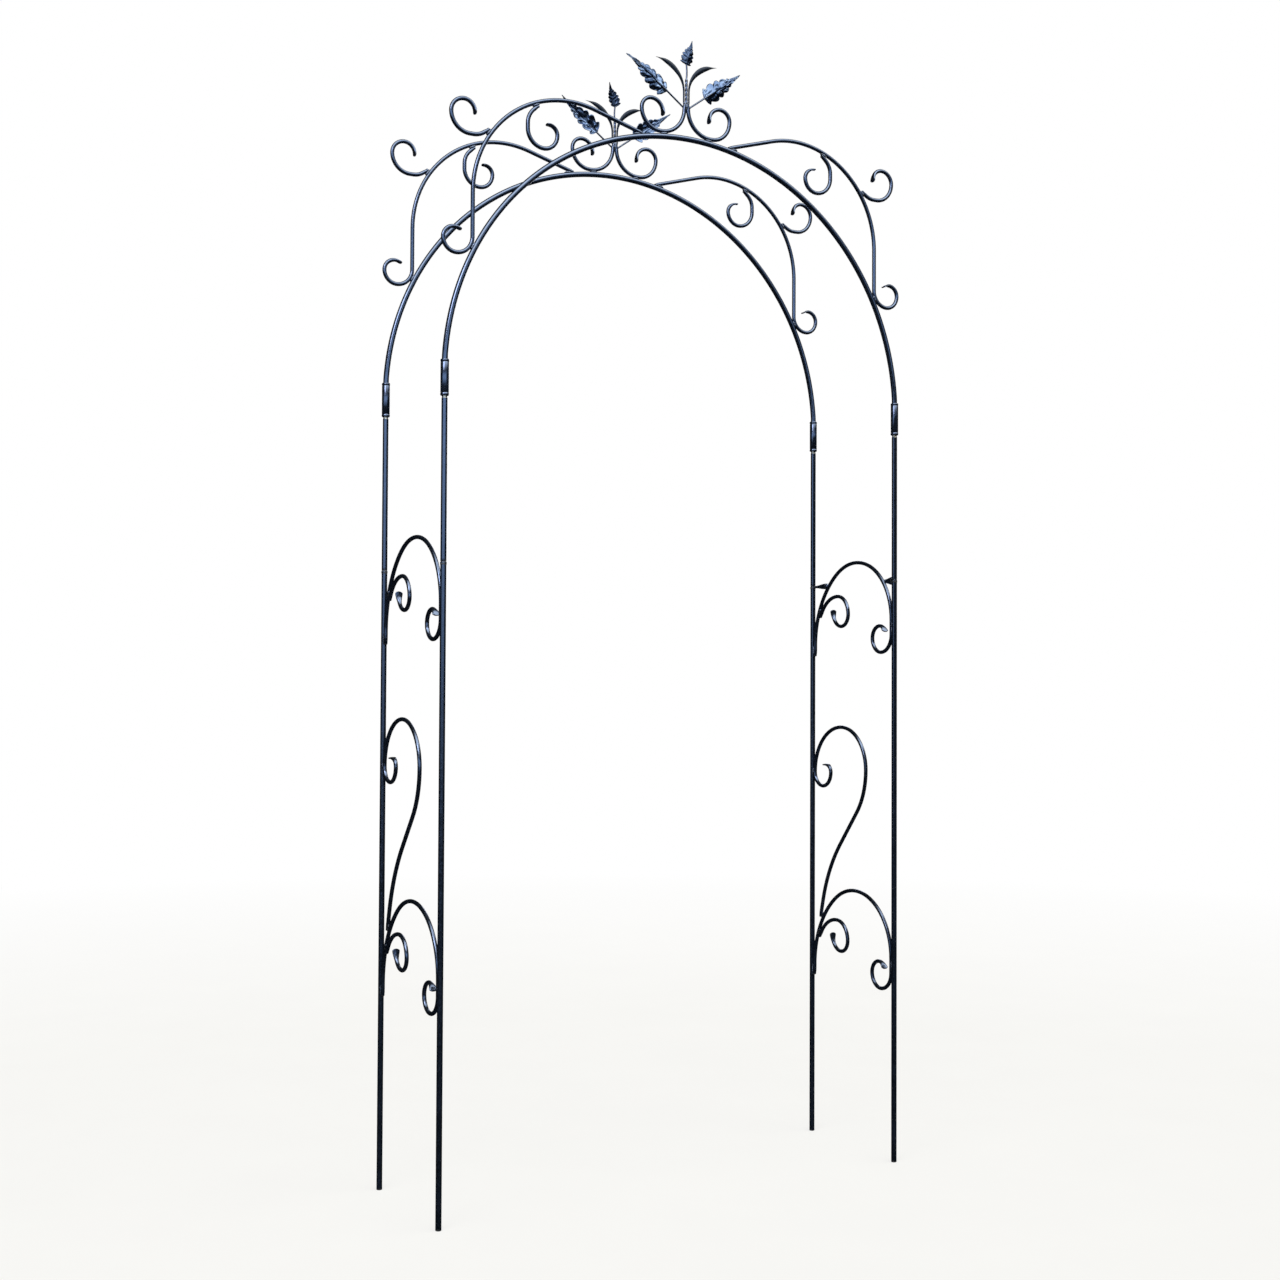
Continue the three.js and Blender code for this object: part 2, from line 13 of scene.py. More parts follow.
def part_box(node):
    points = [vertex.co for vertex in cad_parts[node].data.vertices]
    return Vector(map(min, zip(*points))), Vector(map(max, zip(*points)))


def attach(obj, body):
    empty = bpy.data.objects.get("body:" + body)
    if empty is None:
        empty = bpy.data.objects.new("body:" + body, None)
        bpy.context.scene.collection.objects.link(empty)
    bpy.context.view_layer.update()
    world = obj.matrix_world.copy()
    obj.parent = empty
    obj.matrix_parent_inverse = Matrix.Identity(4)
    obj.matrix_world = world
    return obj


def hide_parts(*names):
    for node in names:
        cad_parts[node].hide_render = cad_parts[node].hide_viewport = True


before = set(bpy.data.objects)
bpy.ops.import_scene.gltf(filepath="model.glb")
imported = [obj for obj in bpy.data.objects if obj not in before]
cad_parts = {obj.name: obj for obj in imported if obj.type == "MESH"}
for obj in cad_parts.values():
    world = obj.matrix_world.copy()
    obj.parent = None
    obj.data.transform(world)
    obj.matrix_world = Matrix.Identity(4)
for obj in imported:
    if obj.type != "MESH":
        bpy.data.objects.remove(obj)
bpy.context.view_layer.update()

# Layout, from the frame
leg_low, leg_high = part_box("lower_leg_front_right")
HALF_WIDTH = (leg_low.x + leg_high.x) / 2
HALF_DEPTH = -(leg_low.y + leg_high.y) / 2
JOINT_HEIGHT = leg_high.z
sleeve_low, sleeve_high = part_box("sleeve_front_right")
SLEEVE_BOTTOM = sleeve_low.z
SLEEVE_TOP = sleeve_high.z
TUBE_BUTT = (SLEEVE_BOTTOM + SLEEVE_TOP) / 2

# Stock. A turned piece ends on its axis in a disc that is nearly shut.
TUBE_RADIUS = 0.0066
BORE_RADIUS = 0.00535
TUBE_SIDES = 36
NEARLY_SHUT = 0.0002
ROD_RADIUS = 0.0048
ROD_SIDES = 20
CLEARANCE = 0.0003
ROD_GAP = 0.001

# Legs and their slip joints
SPIGOT_RADIUS = 0.0049
SPIGOT_BORE = 0.0039
SPIGOT_LENGTH = 0.04
SPIGOT_LEAD = 0.001
FOOT_PLUG = 0.014
FOOT_ROUND = 0.0014
COLLAR_LENGTH = 0.006
COLLAR_PROUD = 0.0006

# Sleeves
SLEEVE_RADIUS = 0.0095
SLEEVE_BORE = 0.007
SLEEVE_ROUND = 0.0024
GROOVE_INSET = 0.0065
GROOVE_HALF = 0.0012
GROOVE_DEPTH = 0.0009
BARREL_DROP = 0.0003
NECK_LENGTH = 0.004
NECK_DEPTH = 0.0008
BUTT_GAP = 0.0005

# Bow
BOW_LEAN = 4.5
BOW_EASE_RADIUS = 0.2

# Branching scrolls on each shoulder of a bow
VINE_WELD_ANGLE = 12
VINE_RISE = 16
VINE_SINK = 0.013
VINE_CROWN_RADIUS = 0.236
VINE_CURL_HEIGHT = 2.14
VINE_CURL_RADII = (0.038, 0.031, 0.025)
VINE_TIP_TURN = 25
CURL_TIP_TURN = 85
INNER_CURL_ANGLE = 20
INNER_CURL_RADII = (0.042, 0.04, 0.033, 0.022)
INNER_CURL_RUN = 0.012
OUTER_CURL_ANGLE = 54
OUTER_CURL_RADII = (0.044, 0.045, 0.03, 0.026)
OUTER_CURL_RUN = 0.008

# Finial
FINIAL_FOOT_RADIUS = 0.061
FINIAL_CURL_RADII = (0.048, 0.026, 0.03)
FINIAL_RUN = 0.004
FINIAL_ROD_TOP = 0.013
LEAF_ANGLE = 36
LEAF_STALK = 0.048
LEAF_STALK_RADIUS = 0.0022
STALK_SINK = 0.006
STALK_RUN_ON = 0.036
STALK_TAPER = 0.7
STALK_STEP = 0.003
LEAF_LENGTH = 0.126
LEAF_HALF_WIDTH = 0.023
LEAF_THICKNESS = 0.0011
LEAF_FOLD = 0.3
BUD_ANGLE = 73
BUD_LENGTH = 0.062
BUD_HALF_WIDTH = 0.0165
BUD_FOLD = 0.35
BLADE_HALF_WIDTH = 0.0065
BLADE_HALF_THICKNESS = 0.0019
BLADE_ROOT = 0.0022
BLADE_STANDOFF = 0.0005
BLADE_RISE = 0.028
BLADE_ARCH = (0.062, 38)
BLADE_DROOP = (0.078, 42)
BLADE_TIP_RUN = 0.015
BLADE_BELLY = 1.7
BLADE_TIP_ROUND = 0.002
BLADE_TIP_WIDTH = 0.12
BLADE_SHARPNESS = 1.35
BLADE_SIDES = 24
BLADE_STEP = 0.004
BLADE_SHARP_ANGLE = math.radians(60)
STEM_RADIUS = 0.0042
STEM_WAIST = 0.003
STEM_BEADS = 5
BEAD_PITCH = 0.011
STEM_WIRE_RADIUS = 0.002
STEM_HEIGHT = 0.092
STEM_SQUARENESS = 0.62
STEM_SIDES = 24
STEM_STEPS = 110
WIRE_SWAY = 0.0012

# A leaf's outline without its lobes, as shares of its length and of its half width
LEAF_OUTLINE = (
    (0.0, 0.05), (0.03, 0.62), (0.07, 0.9), (0.24, 1.0), (0.4, 0.8),
    (0.55, 0.46), (0.63, 0.27), (0.7, 0.2), (0.82, 0.12), (1.0, 0.02),
)
# Where one lobe ends and the next begins, as shares of the length
LEAF_NOTCHES = (0.0, 0.1, 0.25, 0.36, 0.5, 0.58, 0.7)
NOTCH_DEPTH = 0.32
LEAF_SWEEP = 0.12
LEAF_ARCH = 0.05
PILLOW_HEIGHT = 0.014
RIB_HEIGHT = 0.003
MIDRIB_HEIGHT = 0.012
MIDRIB_WIDTH = 0.08
CRUMPLE_HEIGHT = 0.024
# Places in the noise that crumples the leaves
LEAF_SEEDS = {"left": 1.7, "right": 5.3}
BUD_SEED = 3.1

# Scroll ladders, each side with its own heights of the hoops' crowns and its own S-scroll straight
LADDERS = {
    "left": {"upper": 1.493, "lower": 0.682, "straight": 0.096},
    "right": {"upper": 1.481, "lower": 0.646, "straight": 0.11},
}
HOOP_CROWN_OFFSET = -0.015
HOOP_BACK_TURN = 35
HOOP_FRONT_RUN = 0.036
HOOP_BACK_RUN = 0.028
HOOP_CURL_RADII = (0.043, 0.036, 0.03, 0.026)
HOOP_CURL_ANGLE = 70
HOOP_TIP_TURN = 50
BRANCH_CURL_RADII = (0.082, 0.048, 0.03, 0.036)
S_SCROLL_ANGLE = 57
S_SCROLL_HEADING = 104
S_SCROLL_LEAN = 130
S_SCROLL_RADII = (0.38, 0.17, 0.107, 0.036, 0.02)
S_SCROLL_FOOT_RUN = 0.045
S_SCROLL_TIP_TURN = 95

# Pins between the right-hand ladder's legs and its upper hoop: their radii run from leg to hoop
STAY_HEIGHT = 1.427
STAY_STRETCH = 2
STAY_ROUND = 0.0008
STAY_STEP = 0.002
FRONT_STAY = {"radii": (0.0052, 0.0026), "standoff": 0.0108}
BACK_STAY = {"radii": (0.0014, 0.0038), "standoff": 0.014}

# Forged ends
TIP_RUN = 0.008
TIP_LENGTH = 0.03
TIP_THIN = 0.38
TIP_SPREAD = 2
TIP_ROUND = 0.006
TIP_SQUARING = 0.4
SCARF_LENGTH = 0.014
SCARF_THIN = 0.75
ROOT_SINK = 0.0012
END_ROUND = 0.0012

# Welds
BEAD_RADIUS = 0.0028
BEAD_OFFSET = 0.0027
BEAD_LENGTH = 0.017
LONG_BEAD = 0.026
BEAD_SIDES = 12
BEAD_UNEVENNESS = 0.22
RIPPLE_PITCH = 0.0026
RIPPLE_HEIGHT = 0.16
# How far a lump of weld swells, in waves of two sizes, as a share of its radius
COARSE_SWELL = 0.16
FINE_SWELL = 0.05
LARGEST_SWELL = 1 + COARSE_SWELL + FINE_SWELL
KNOT_SIZE = (0.0085, 0.0052, 0.0042)
STAY_DAB = (0.8, 1.0, 1.9)

# Degrees by which beads are moved along their joints, or turned, to lie where the two bars meet
VINE_WELD_SHIFT = 0.4
VINE_WELD_HEADING = -6
CURL_WELD_SHIFT = 1.5
INNER_WELD_TURN = 3
BRANCH_WELD_SHIFT = 4
S_SCROLL_WELD_SHIFT = 3

# Fineness of the meshes
LONG_STEP = 0.012
TURN_STEP = math.radians(5)
END_STEPS = 6
SAME_PLACE = 1e-6
SHARP_ANGLE = math.radians(38)
PIN_SIDES = 16
LEAF_ROWS = 144
LEAF_COLUMNS = 14

# Bulges tighter than these, in 1/m, begin and complete the wear of the enamel. Long plain faces stop
# a little way short of a worn edge, so that the wear doesn't run out along them.
WORN_CURVATURE = (300, 800)
FINEST_EDGE = 0.00004
WEAR_REACH = 0.006

RIGHT = Vector((1, 0, 0))
BACKWARD = Vector((0, 1, 0))
UP = Vector((0, 0, 1))


# ----- Centre lines -----

def sine(degrees):
    return math.sin(math.radians(degrees))


def cosine(degrees):
    return math.cos(math.radians(degrees))


def polar(centre, radius, degrees):
    """The point at an angle clockwise from straight up on a circle around a centre."""
    return centre[0] + radius * sine(degrees), centre[1] + radius * cosine(degrees)


def run(length):
    return length, 0.0


def bend(radius, degrees):
    """A bend to the left has a positive angle, a bend to the right a negative one."""
    turn = math.radians(degrees)
    return radius * abs(turn), turn


def travel(x, y, heading, length, turn):
    half = turn / 2
    chord = length * math.sin(half) / half if half else length
    return x + chord * math.cos(heading + half), y + chord * math.sin(heading + half), heading + turn


class Path:
    """A centre line in a plane, made of straight runs and round bends."""

    def __init__(self, start, heading, moves):
        x, y = start
        heading = math.radians(heading)
        self.length = 0.0
        self.starts = []
        self.moves = []
        for length, turn in moves:
            self.starts.append(self.length)
            self.moves.append((x, y, heading, length, turn))
            x, y, heading = travel(x, y, heading, length, turn)
            self.length += length

    def at(self, distance):
        index = max(0, bisect_right(self.starts, distance) - 1)
        x, y, heading, length, turn = self.moves[index]
        share = (distance - self.starts[index]) / length
        return travel(x, y, heading, length * share, turn * share)

    def stops(self, rounding, long_step):
        """Distances at which the path gets a ring, closer together in bends and at round ends."""
        found = {0.0, self.length}
        for first, (_, _, _, length, turn) in zip(self.starts, self.moves):
            steps = max(math.ceil(length / long_step), math.ceil(abs(turn) / TURN_STEP))
            found.update(first + length * step / steps for step in range(steps))
        for step in range(1, END_STEPS + 1):
            inset = rounding * (1 - math.cos(math.pi / 2 * step / END_STEPS))
            found.update({inset, self.length - inset})
        spread_out = []
        for distance in sorted(found):
            if not spread_out or distance - spread_out[-1] > SAME_PLACE:
                spread_out.append(distance)
        return spread_out


def plane(right, origin):
    """Places a flat drawing upright: its X goes along right, its Y goes up."""
    out = right.cross(UP)
    place = Matrix((right, UP, out)).transposed().to_4x4()
    place.translation = origin
    return place


# ----- Surfaces -----

def ease(share):
    share = min(max(share, 0.0), 1.0)
    return share * share * (3 - 2 * share)


def dome(distance, radius):
    """How far a rounded end has opened at a distance from it, from nearly shut to 1."""
    inset = 1 - min(distance / radius, 1.0)
    return max(math.sqrt(1 - inset * inset), 0.12)


# Half sizes of a bar's section in its path's plane and across it, how far it moves to the left of
# the path, and its roundness: 1 is an oval, less is squarer and more is sharper
Section = namedtuple("Section", "inward across leftward power", defaults=(0.0, 1.0))


def section_ring(place, centre, normal, section, sides, twist=0.0):
    """Points around a section, which is moved along the normal and may be twisted."""
    centre = centre + normal * section.leftward
    ring = []
    for index in range(sides):
        angle = 2 * math.pi * index / sides
        x = section.inward * math.copysign(abs(math.cos(angle)) ** section.power, math.cos(angle))
        y = section.across * math.copysign(abs(math.sin(angle)) ** section.power, math.sin(angle))
        turned_x = x * math.cos(twist) - y * math.sin(twist)
        turned_y = x * math.sin(twist) + y * math.cos(twist)
        ring.append(place @ (centre + normal * turned_x + Vector((0, 0, turned_y))))
    return ring


def sweep(place, path, section, rounding, sides=ROD_SIDES, long_step=LONG_STEP):
    """Rings along a path whose ends have a rounding, each with the bar's section(distance) there."""
    rings = []
    for distance in path.stops(rounding, long_step):
        x, y, heading = path.at(distance)
        normal = Vector((-math.sin(heading), math.cos(heading), 0))
        rings.append(section_ring(place, Vector((x, y, 0)), normal, section(distance), sides))
    return rings


def lathe(axis, profile):
    """Rings around an upright axis, one for each (radius, height) of a profile."""
    return [
        [
            axis + Vector((radius * math.cos(angle), radius * math.sin(angle), height))
            for angle in (2 * math.pi * index / TUBE_SIDES for index in range(TUBE_SIDES))
        ]
        for radius, height in profile
    ]


def arc(centre, radius, start, end, steps=5):
    """Profile points on an arc, with angles in degrees from the outward direction."""
    angles = [start + (end - start) * step / steps for step in range(steps + 1)]
    return [(centre[0] + radius * cosine(a), centre[1] + radius * sine(a)) for a in angles]


def shell(mesh, rings, closed):
    """Adds a skin through the rings, run round to the start when closed, or else capped."""
    rows = [[mesh.verts.new(point) for point in ring] for ring in rings]
    pairs = list(zip(rows, rows[1:]))
    if closed:
        pairs.append((rows[-1], rows[0]))
    else:
        mesh.faces.new(rows[0])
        mesh.faces.new(list(reversed(rows[-1])))
    for lower, upper in pairs:
        for index, corner in enumerate(lower):
            following = (index + 1) % len(lower)
            mesh.faces.new((corner, lower[following], upper[following], upper[index]))


def make_piece(name, body, material, *shells, sharp=SHARP_ANGLE):
    """One object made of capped skins, or closed ones where a shell is given as (rings, True)."""
    mesh = bmesh.new()
    for entry in shells:
        rings, closed = entry if isinstance(entry, tuple) else (entry, False)
        shell(mesh, rings, closed)
    bmesh.ops.recalc_face_normals(mesh, faces=mesh.faces)
    return finish_mesh(name, body, material, mesh, sharp)


def mark_curvature(mesh):
    """Stores at each corner how tightly the surface bulges there, in 1/m, for the enamel's wear."""
    mesh.normal_update()
    layer = mesh.verts.layers.float.new("curvature")
    for vertex in mesh.verts:
        tightest = 0.0
        for edge in vertex.link_edges:
            other = edge.other_vert(vertex)
            step = other.co - vertex.co
            if step.length > FINEST_EDGE:
                bulge = (other.normal - vertex.normal).dot(step) / step.length_squared
                tightest = max(tightest, bulge)
        vertex[layer] = tightest


def finish_mesh(name, body, material, mesh, sharp=SHARP_ANGLE):
    mark_curvature(mesh)
    data = bpy.data.meshes.new(name)
    mesh.to_mesh(data)
    mesh.free()
    data.polygons.foreach_set("use_smooth", [True] * len(data.polygons))
    data.set_sharp_from_angle(angle=sharp)
    data.materials.append(material)
    piece = bpy.data.objects.new(name, data)
    bpy.context.scene.collection.objects.link(piece)
    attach(piece, body)
    return piece


def stand_for(piece, node):
    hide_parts(node)
    return piece


# ----- Materials -----

NOISE_ROUGHNESS = 0.55
BLACK = (0.002, 0.003, 0.005, 1)
BLUE_BLACK = (0.004, 0.006, 0.011, 1)
NIGHT_BLUE = (0.008, 0.012, 0.024, 1)
DARK_BLUE = (0.036, 0.054, 0.108, 1)
STEEL_BLUE = (0.06, 0.09, 0.18, 1)
PALE_BLUE = (0.17, 0.23, 0.38, 1)
WORN_STEEL = (0.17, 0.165, 0.16, 1)
DARK_ZINC = (0.26, 0.26, 0.27, 1)
BRIGHT_STEEL = (0.5, 0.49, 0.47, 1)
DUST = (0.42, 0.42, 0.4, 1)
BLUE_SHEEN = (0.45, 0.58, 1, 1)
ENAMEL_IOR = 1.8
FLOOR_DARK = (0.115, 0.112, 0.113, 1)
FLOOR_LIGHT = (0.122, 0.119, 0.12, 1)
FLOOR_GLOW = (0.74, 0.74, 0.74, 1)
WHITE = (1, 1, 1, 1)
NO_COLOUR = (0, 0, 0, 1)


class Shading:
    """A node tree, with short ways to add nodes and link them."""

    def __init__(self, tree, coordinates):
        self.tree = tree
        self.place = self.add("TexCoord").outputs[coordinates]

    def add(self, kind, **settings):
        node = self.tree.nodes.new("ShaderNode" + kind)
        for key, value in settings.items():
            setattr(node, key, value)
        return node

    def feed(self, socket, value):
        if isinstance(value, bpy.types.NodeSocket):
            self.tree.links.new(value, socket)
        else:
            socket.default_value = value

    def noise(self, scale, detail=3.0):
        node = self.add("TexNoise")
        self.feed(node.inputs["Vector"], self.place)
        node.inputs["Scale"].default_value = scale
        node.inputs["Detail"].default_value = detail
        node.inputs["Roughness"].default_value = NOISE_ROUGHNESS
        return node.outputs["Fac"]

    def spread(self, value, low, high, to_low=0.0, to_high=1.0):
        node = self.add("MapRange")
        for socket, entry in zip(node.inputs, (value, low, high, to_low, to_high)):
            self.feed(socket, entry)
        return node.outputs["Result"]

    def math(self, operation, first, second):
        node = self.add("Math", operation=operation)
        self.feed(node.inputs[0], first)
        self.feed(node.inputs[1], second)
        return node.outputs[0]

    def mix(self, share, first, second):
        node = self.add("Mix", data_type="RGBA")
        self.feed(node.inputs["Factor"], share)
        for socket, entry in zip((node.inputs[6], node.inputs[7]), (first, second)):
            self.feed(socket, entry)
        return node.outputs[2]

    def bump(self, height, distance, strength=1.0, under=None):
        node = self.add("Bump")
        node.inputs["Distance"].default_value = distance
        node.inputs["Strength"].default_value = strength
        self.feed(node.inputs["Height"], height)
        if under is not None:
            self.feed(node.inputs["Normal"], under)
        return node.outputs["Normal"]


def new_material(name):
    material = bpy.data.materials.new(name)
    material.use_nodes = True
    shading = Shading(material.node_tree, "Object")
    return material, shading, material.node_tree.nodes["Principled BSDF"]


def enamel(name, slot, deep, pale, roughness, dents, metallic=0.0, gloss=1.0, worn=0.7):
    """Black enamel over steel: mottled tone, orange peel, forging dents, worn edges and dust."""
    material, shading, shader = new_material(name)
    material["slot"] = slot
    shader.inputs["IOR"].default_value = ENAMEL_IOR
    shader.inputs["Specular IOR Level"].default_value = gloss
    shader.inputs["Specular Tint"].default_value = BLUE_SHEEN

    mottle = shading.spread(shading.noise(18, 5), 0.35, 0.68)
    tone = shading.mix(mottle, deep, pale)

    curvature = shading.add("Attribute", attribute_name="curvature").outputs["Fac"]
    edge = shading.spread(curvature, *WORN_CURVATURE)
    patchy = shading.spread(shading.noise(260, 4), 0.45, 0.62)
    wear = shading.math("MULTIPLY", shading.math("MULTIPLY", edge, patchy), worn)
    tone = shading.mix(wear, tone, WORN_STEEL)

    facing = shading.add("SeparateXYZ")
    shading.feed(facing.inputs[0], shading.add("NewGeometry").outputs["Normal"])
    settled = shading.spread(facing.outputs["Z"], 0.6, 1.0, 0.0, 0.03)
    dust = shading.math("MULTIPLY", settled, shading.spread(shading.noise(75, 5), 0.4, 0.7))
    tone = shading.mix(dust, tone, DUST)
    shading.feed(shader.inputs["Base Color"], tone)

    sheen = shading.spread(shading.noise(140, 4), 0.3, 0.7, roughness - 0.06, roughness + 0.08)
    rubbed = shading.math("ADD", sheen, shading.math("MULTIPLY", dust, 1.5))
    shading.feed(shader.inputs["Roughness"], rubbed)
    shading.feed(shader.inputs["Metallic"], shading.math("MAXIMUM", wear, metallic))

    hammered = shading.bump(shading.noise(60, 2), dents)
    peel = shading.bump(shading.noise(850, 2), 0.00006, 0.35, hammered)
    shading.feed(shader.inputs["Normal"], peel)
    return material


def bare_steel():
    """Scraped steel of a slip joint, with dull zinc mottling and turning marks."""
    material, shading, shader = new_material("bare_steel")
    shader.inputs["Metallic"].default_value = 1.0
    mottle = shading.spread(shading.noise(180, 5), 0.3, 0.7)
    shading.feed(shader.inputs["Base Color"], shading.mix(mottle, DARK_ZINC, BRIGHT_STEEL))
    scuffs = shading.spread(shading.noise(420, 3), 0.3, 0.7, 0.22, 0.42)
    shading.feed(shader.inputs["Roughness"], scuffs)
    marks = shading.add("TexWave", wave_type="BANDS", bands_direction="Z")
    shading.feed(marks.inputs["Vector"], shading.place)
    marks.inputs["Scale"].default_value = 1600
    marks.inputs["Distortion"].default_value = 1.5
    shading.feed(shader.inputs["Normal"], shading.bump(marks.outputs["Fac"], 0.00002, 0.5))
    return material


def floor_finish():
    """Pale matt floor, fading into the backdrop's own brightness away from the arch."""
    material, shading, shader = new_material("floor_finish")
    patches = shading.spread(shading.noise(3, 6), 0.3, 0.7)
    shade = shading.mix(patches, FLOOR_DARK, FLOOR_LIGHT)
    distance = shading.add("VectorMath", operation="LENGTH")
    shading.feed(distance.inputs[0], shading.place)
    far = shading.spread(distance.outputs["Value"], 2.2, 7)
    shading.feed(shader.inputs["Base Color"], shading.mix(far, shade, NO_COLOUR))
    matt = shading.spread(shading.noise(8, 4), 0.3, 0.7, 0.8, 0.95)
    shading.feed(shader.inputs["Roughness"], matt)
    shader.inputs["Specular IOR Level"].default_value = 0.0
    shading.feed(shader.inputs["Emission Color"], shading.mix(far, FLOOR_GLOW, WHITE))
    shader.inputs["Emission Strength"].default_value = 1.0
    return material


TUBE_ENAMEL = enamel("enamelled_tube", "tube_enamel", BLACK, BLUE_BLACK, 0.17, 0.00003)
SCROLL_ENAMEL = enamel("enamelled_bar", "scroll_enamel", BLACK, BLUE_BLACK, 0.18, 0.00012)
BLADE_ENAMEL = enamel(
    "enamelled_blade", "leaf_enamel", BLACK, BLUE_BLACK, 0.26, 0.00012, gloss=0.15, worn=0.1
)
LEAF_ENAMEL = enamel(
    "enamelled_leaf", "leaf_enamel", STEEL_BLUE, PALE_BLUE, 0.26, 0.0001, metallic=1.0
)
BUD_ENAMEL = enamel(
    "enamelled_bud", "leaf_enamel", NIGHT_BLUE, DARK_BLUE, 0.26, 0.0001, metallic=1.0, worn=0.2
)
BARE_STEEL = bare_steel()


# ----- Legs, sleeves and bows -----

def lower_leg_profile():
    """Outside from the plugged foot up to the collar at the joint, then back down the bore."""
    collar_bottom = JOINT_HEIGHT - COLLAR_LENGTH
    collar = TUBE_RADIUS + COLLAR_PROUD
    return [
        (NEARLY_SHUT, 0),
        *arc((TUBE_RADIUS - FOOT_ROUND, FOOT_ROUND), FOOT_ROUND, -90, 0),
        (TUBE_RADIUS, FOOT_ROUND + WEAR_REACH),
        (TUBE_RADIUS, collar_bottom - WEAR_REACH),
        (TUBE_RADIUS, collar_bottom),
        *arc((TUBE_RADIUS, collar_bottom + COLLAR_PROUD), COLLAR_PROUD, -45, 0, 3),
        (collar, JOINT_HEIGHT - COLLAR_PROUD),
        *arc((TUBE_RADIUS, JOINT_HEIGHT - COLLAR_PROUD), COLLAR_PROUD, 0, 90, 4),
        (BORE_RADIUS + CLEARANCE, JOINT_HEIGHT),
        (BORE_RADIUS, JOINT_HEIGHT - CLEARANCE),
        (BORE_RADIUS, FOOT_PLUG),
        (NEARLY_SHUT, FOOT_PLUG),
    ]


def upper_leg_profile():
    """Outside from the spigot's tip up to the butt in the sleeve, then back down the bore."""
    shoulder = JOINT_HEIGHT + CLEARANCE
    tip = JOINT_HEIGHT - SPIGOT_LENGTH
    top = TUBE_BUTT - BUTT_GAP
    taper = TUBE_RADIUS - SPIGOT_RADIUS
    neck = SLEEVE_BOTTOM - NECK_LENGTH
    return [
        (SPIGOT_BORE, tip),
        (SPIGOT_RADIUS - SPIGOT_LEAD, tip),
        (SPIGOT_RADIUS, tip + 2 * SPIGOT_LEAD),
        (SPIGOT_RADIUS, shoulder),
        *arc((TUBE_RADIUS - taper, shoulder + taper), taper, -90, 0),
        (TUBE_RADIUS, shoulder + taper + WEAR_REACH),
        (TUBE_RADIUS, neck - NECK_DEPTH - WEAR_REACH),
        (TUBE_RADIUS, neck - NECK_DEPTH),
        *arc((TUBE_RADIUS - NECK_DEPTH, neck - NECK_DEPTH), NECK_DEPTH, 0, 90, 4),
        (TUBE_RADIUS - NECK_DEPTH, SLEEVE_BOTTOM + NECK_LENGTH),
        (TUBE_RADIUS, SLEEVE_BOTTOM + NECK_LENGTH + NECK_DEPTH),
        (TUBE_RADIUS, top),
        (BORE_RADIUS, top),
        (BORE_RADIUS, shoulder + 2 * taper),
        (SPIGOT_BORE, shoulder + taper),
    ]


def sleeve_profile():
    """Plain barrel with a rolled lip at each end, set off by a shallow groove."""
    barrel = SLEEVE_RADIUS - SLEEVE_ROUND
    groove = SLEEVE_RADIUS - GROOVE_DEPTH
    low, high = SLEEVE_BOTTOM + GROOVE_INSET, SLEEVE_TOP - GROOVE_INSET
    return [
        (SLEEVE_BORE, SLEEVE_BOTTOM),
        *arc((barrel, SLEEVE_BOTTOM + SLEEVE_ROUND), SLEEVE_ROUND, -90, 0),
        (SLEEVE_RADIUS, low - GROOVE_HALF),
        (groove, low),
        (SLEEVE_RADIUS - BARREL_DROP, low + GROOVE_HALF),
        (SLEEVE_RADIUS - BARREL_DROP, high - GROOVE_HALF),
        (groove, high),
        (SLEEVE_RADIUS, high + GROOVE_HALF),
        *arc((barrel, SLEEVE_TOP - SLEEVE_ROUND), SLEEVE_ROUND, 0, 90),
        (SLEEVE_BORE, SLEEVE_TOP),
    ]


def make_turned(name, body, node, foot, profile, closed):
    piece = make_piece(name, body, TUBE_ENAMEL, (lathe(foot, profile), closed))
    return stand_for(piece, node)


def make_leg(row, side, foot):
    """Lower leg, upper leg with its spigot and its neck scraped bright, and sleeve."""
    end = f"{row}_{side}"
    body = f"{end}_upright"
    make_turned(
        f"{end}_lower_tube", "side_ladders", f"lower_leg_{end}", foot, lower_leg_profile(), False
    )
    upper = make_turned(
        f"{end}_upper_tube", body, f"upper_leg_{end}", foot, upper_leg_profile(), True
    )
    upper.data.materials.append(BARE_STEEL)
    scraped = JOINT_HEIGHT + TUBE_RADIUS - SPIGOT_RADIUS
    neck = SLEEVE_BOTTOM - NECK_LENGTH - NECK_DEPTH
    for face in upper.data.polygons:
        height = face.center.z
        bright = height < scraped or neck < height < SLEEVE_BOTTOM + NECK_LENGTH
        face.material_index = int(bright)
    make_turned(f"{end}_sleeve", body, f"sleeve_{end}", foot, sleeve_profile(), True)


bow_radius = (HALF_WIDTH - BOW_EASE_RADIUS * (1 - cosine(BOW_LEAN))) / cosine(BOW_LEAN)
bow_centre = (0, SLEEVE_TOP + (BOW_EASE_RADIUS - bow_radius) * sine(BOW_LEAN))
beside_bow = bow_radius + TUBE_RADIUS + ROD_RADIUS + CLEARANCE


def make_bow(row, place):
    """One bent tube with a short straight end in each sleeve."""
    socket = SLEEVE_TOP - TUBE_BUTT - BUTT_GAP
    path = Path((-HALF_WIDTH, TUBE_BUTT + BUTT_GAP), 90, [
        run(socket),
        bend(BOW_EASE_RADIUS, -BOW_LEAN),
        bend(bow_radius, 2 * BOW_LEAN - 180),
        bend(BOW_EASE_RADIUS, -BOW_LEAN),
        run(socket),
    ])
    skins = [
        sweep(place, path, lambda _, radius=radius: Section(radius, radius), 0.0, TUBE_SIDES)
        for radius in (TUBE_RADIUS, BORE_RADIUS)
    ]
    rings = skins[0] + list(reversed(skins[1]))
    stand_for(make_piece(f"{row}_bow_tube", f"{row}_bow", TUBE_ENAMEL, (rings, True)), f"bow_{row}")


# ----- Forged scrolls -----

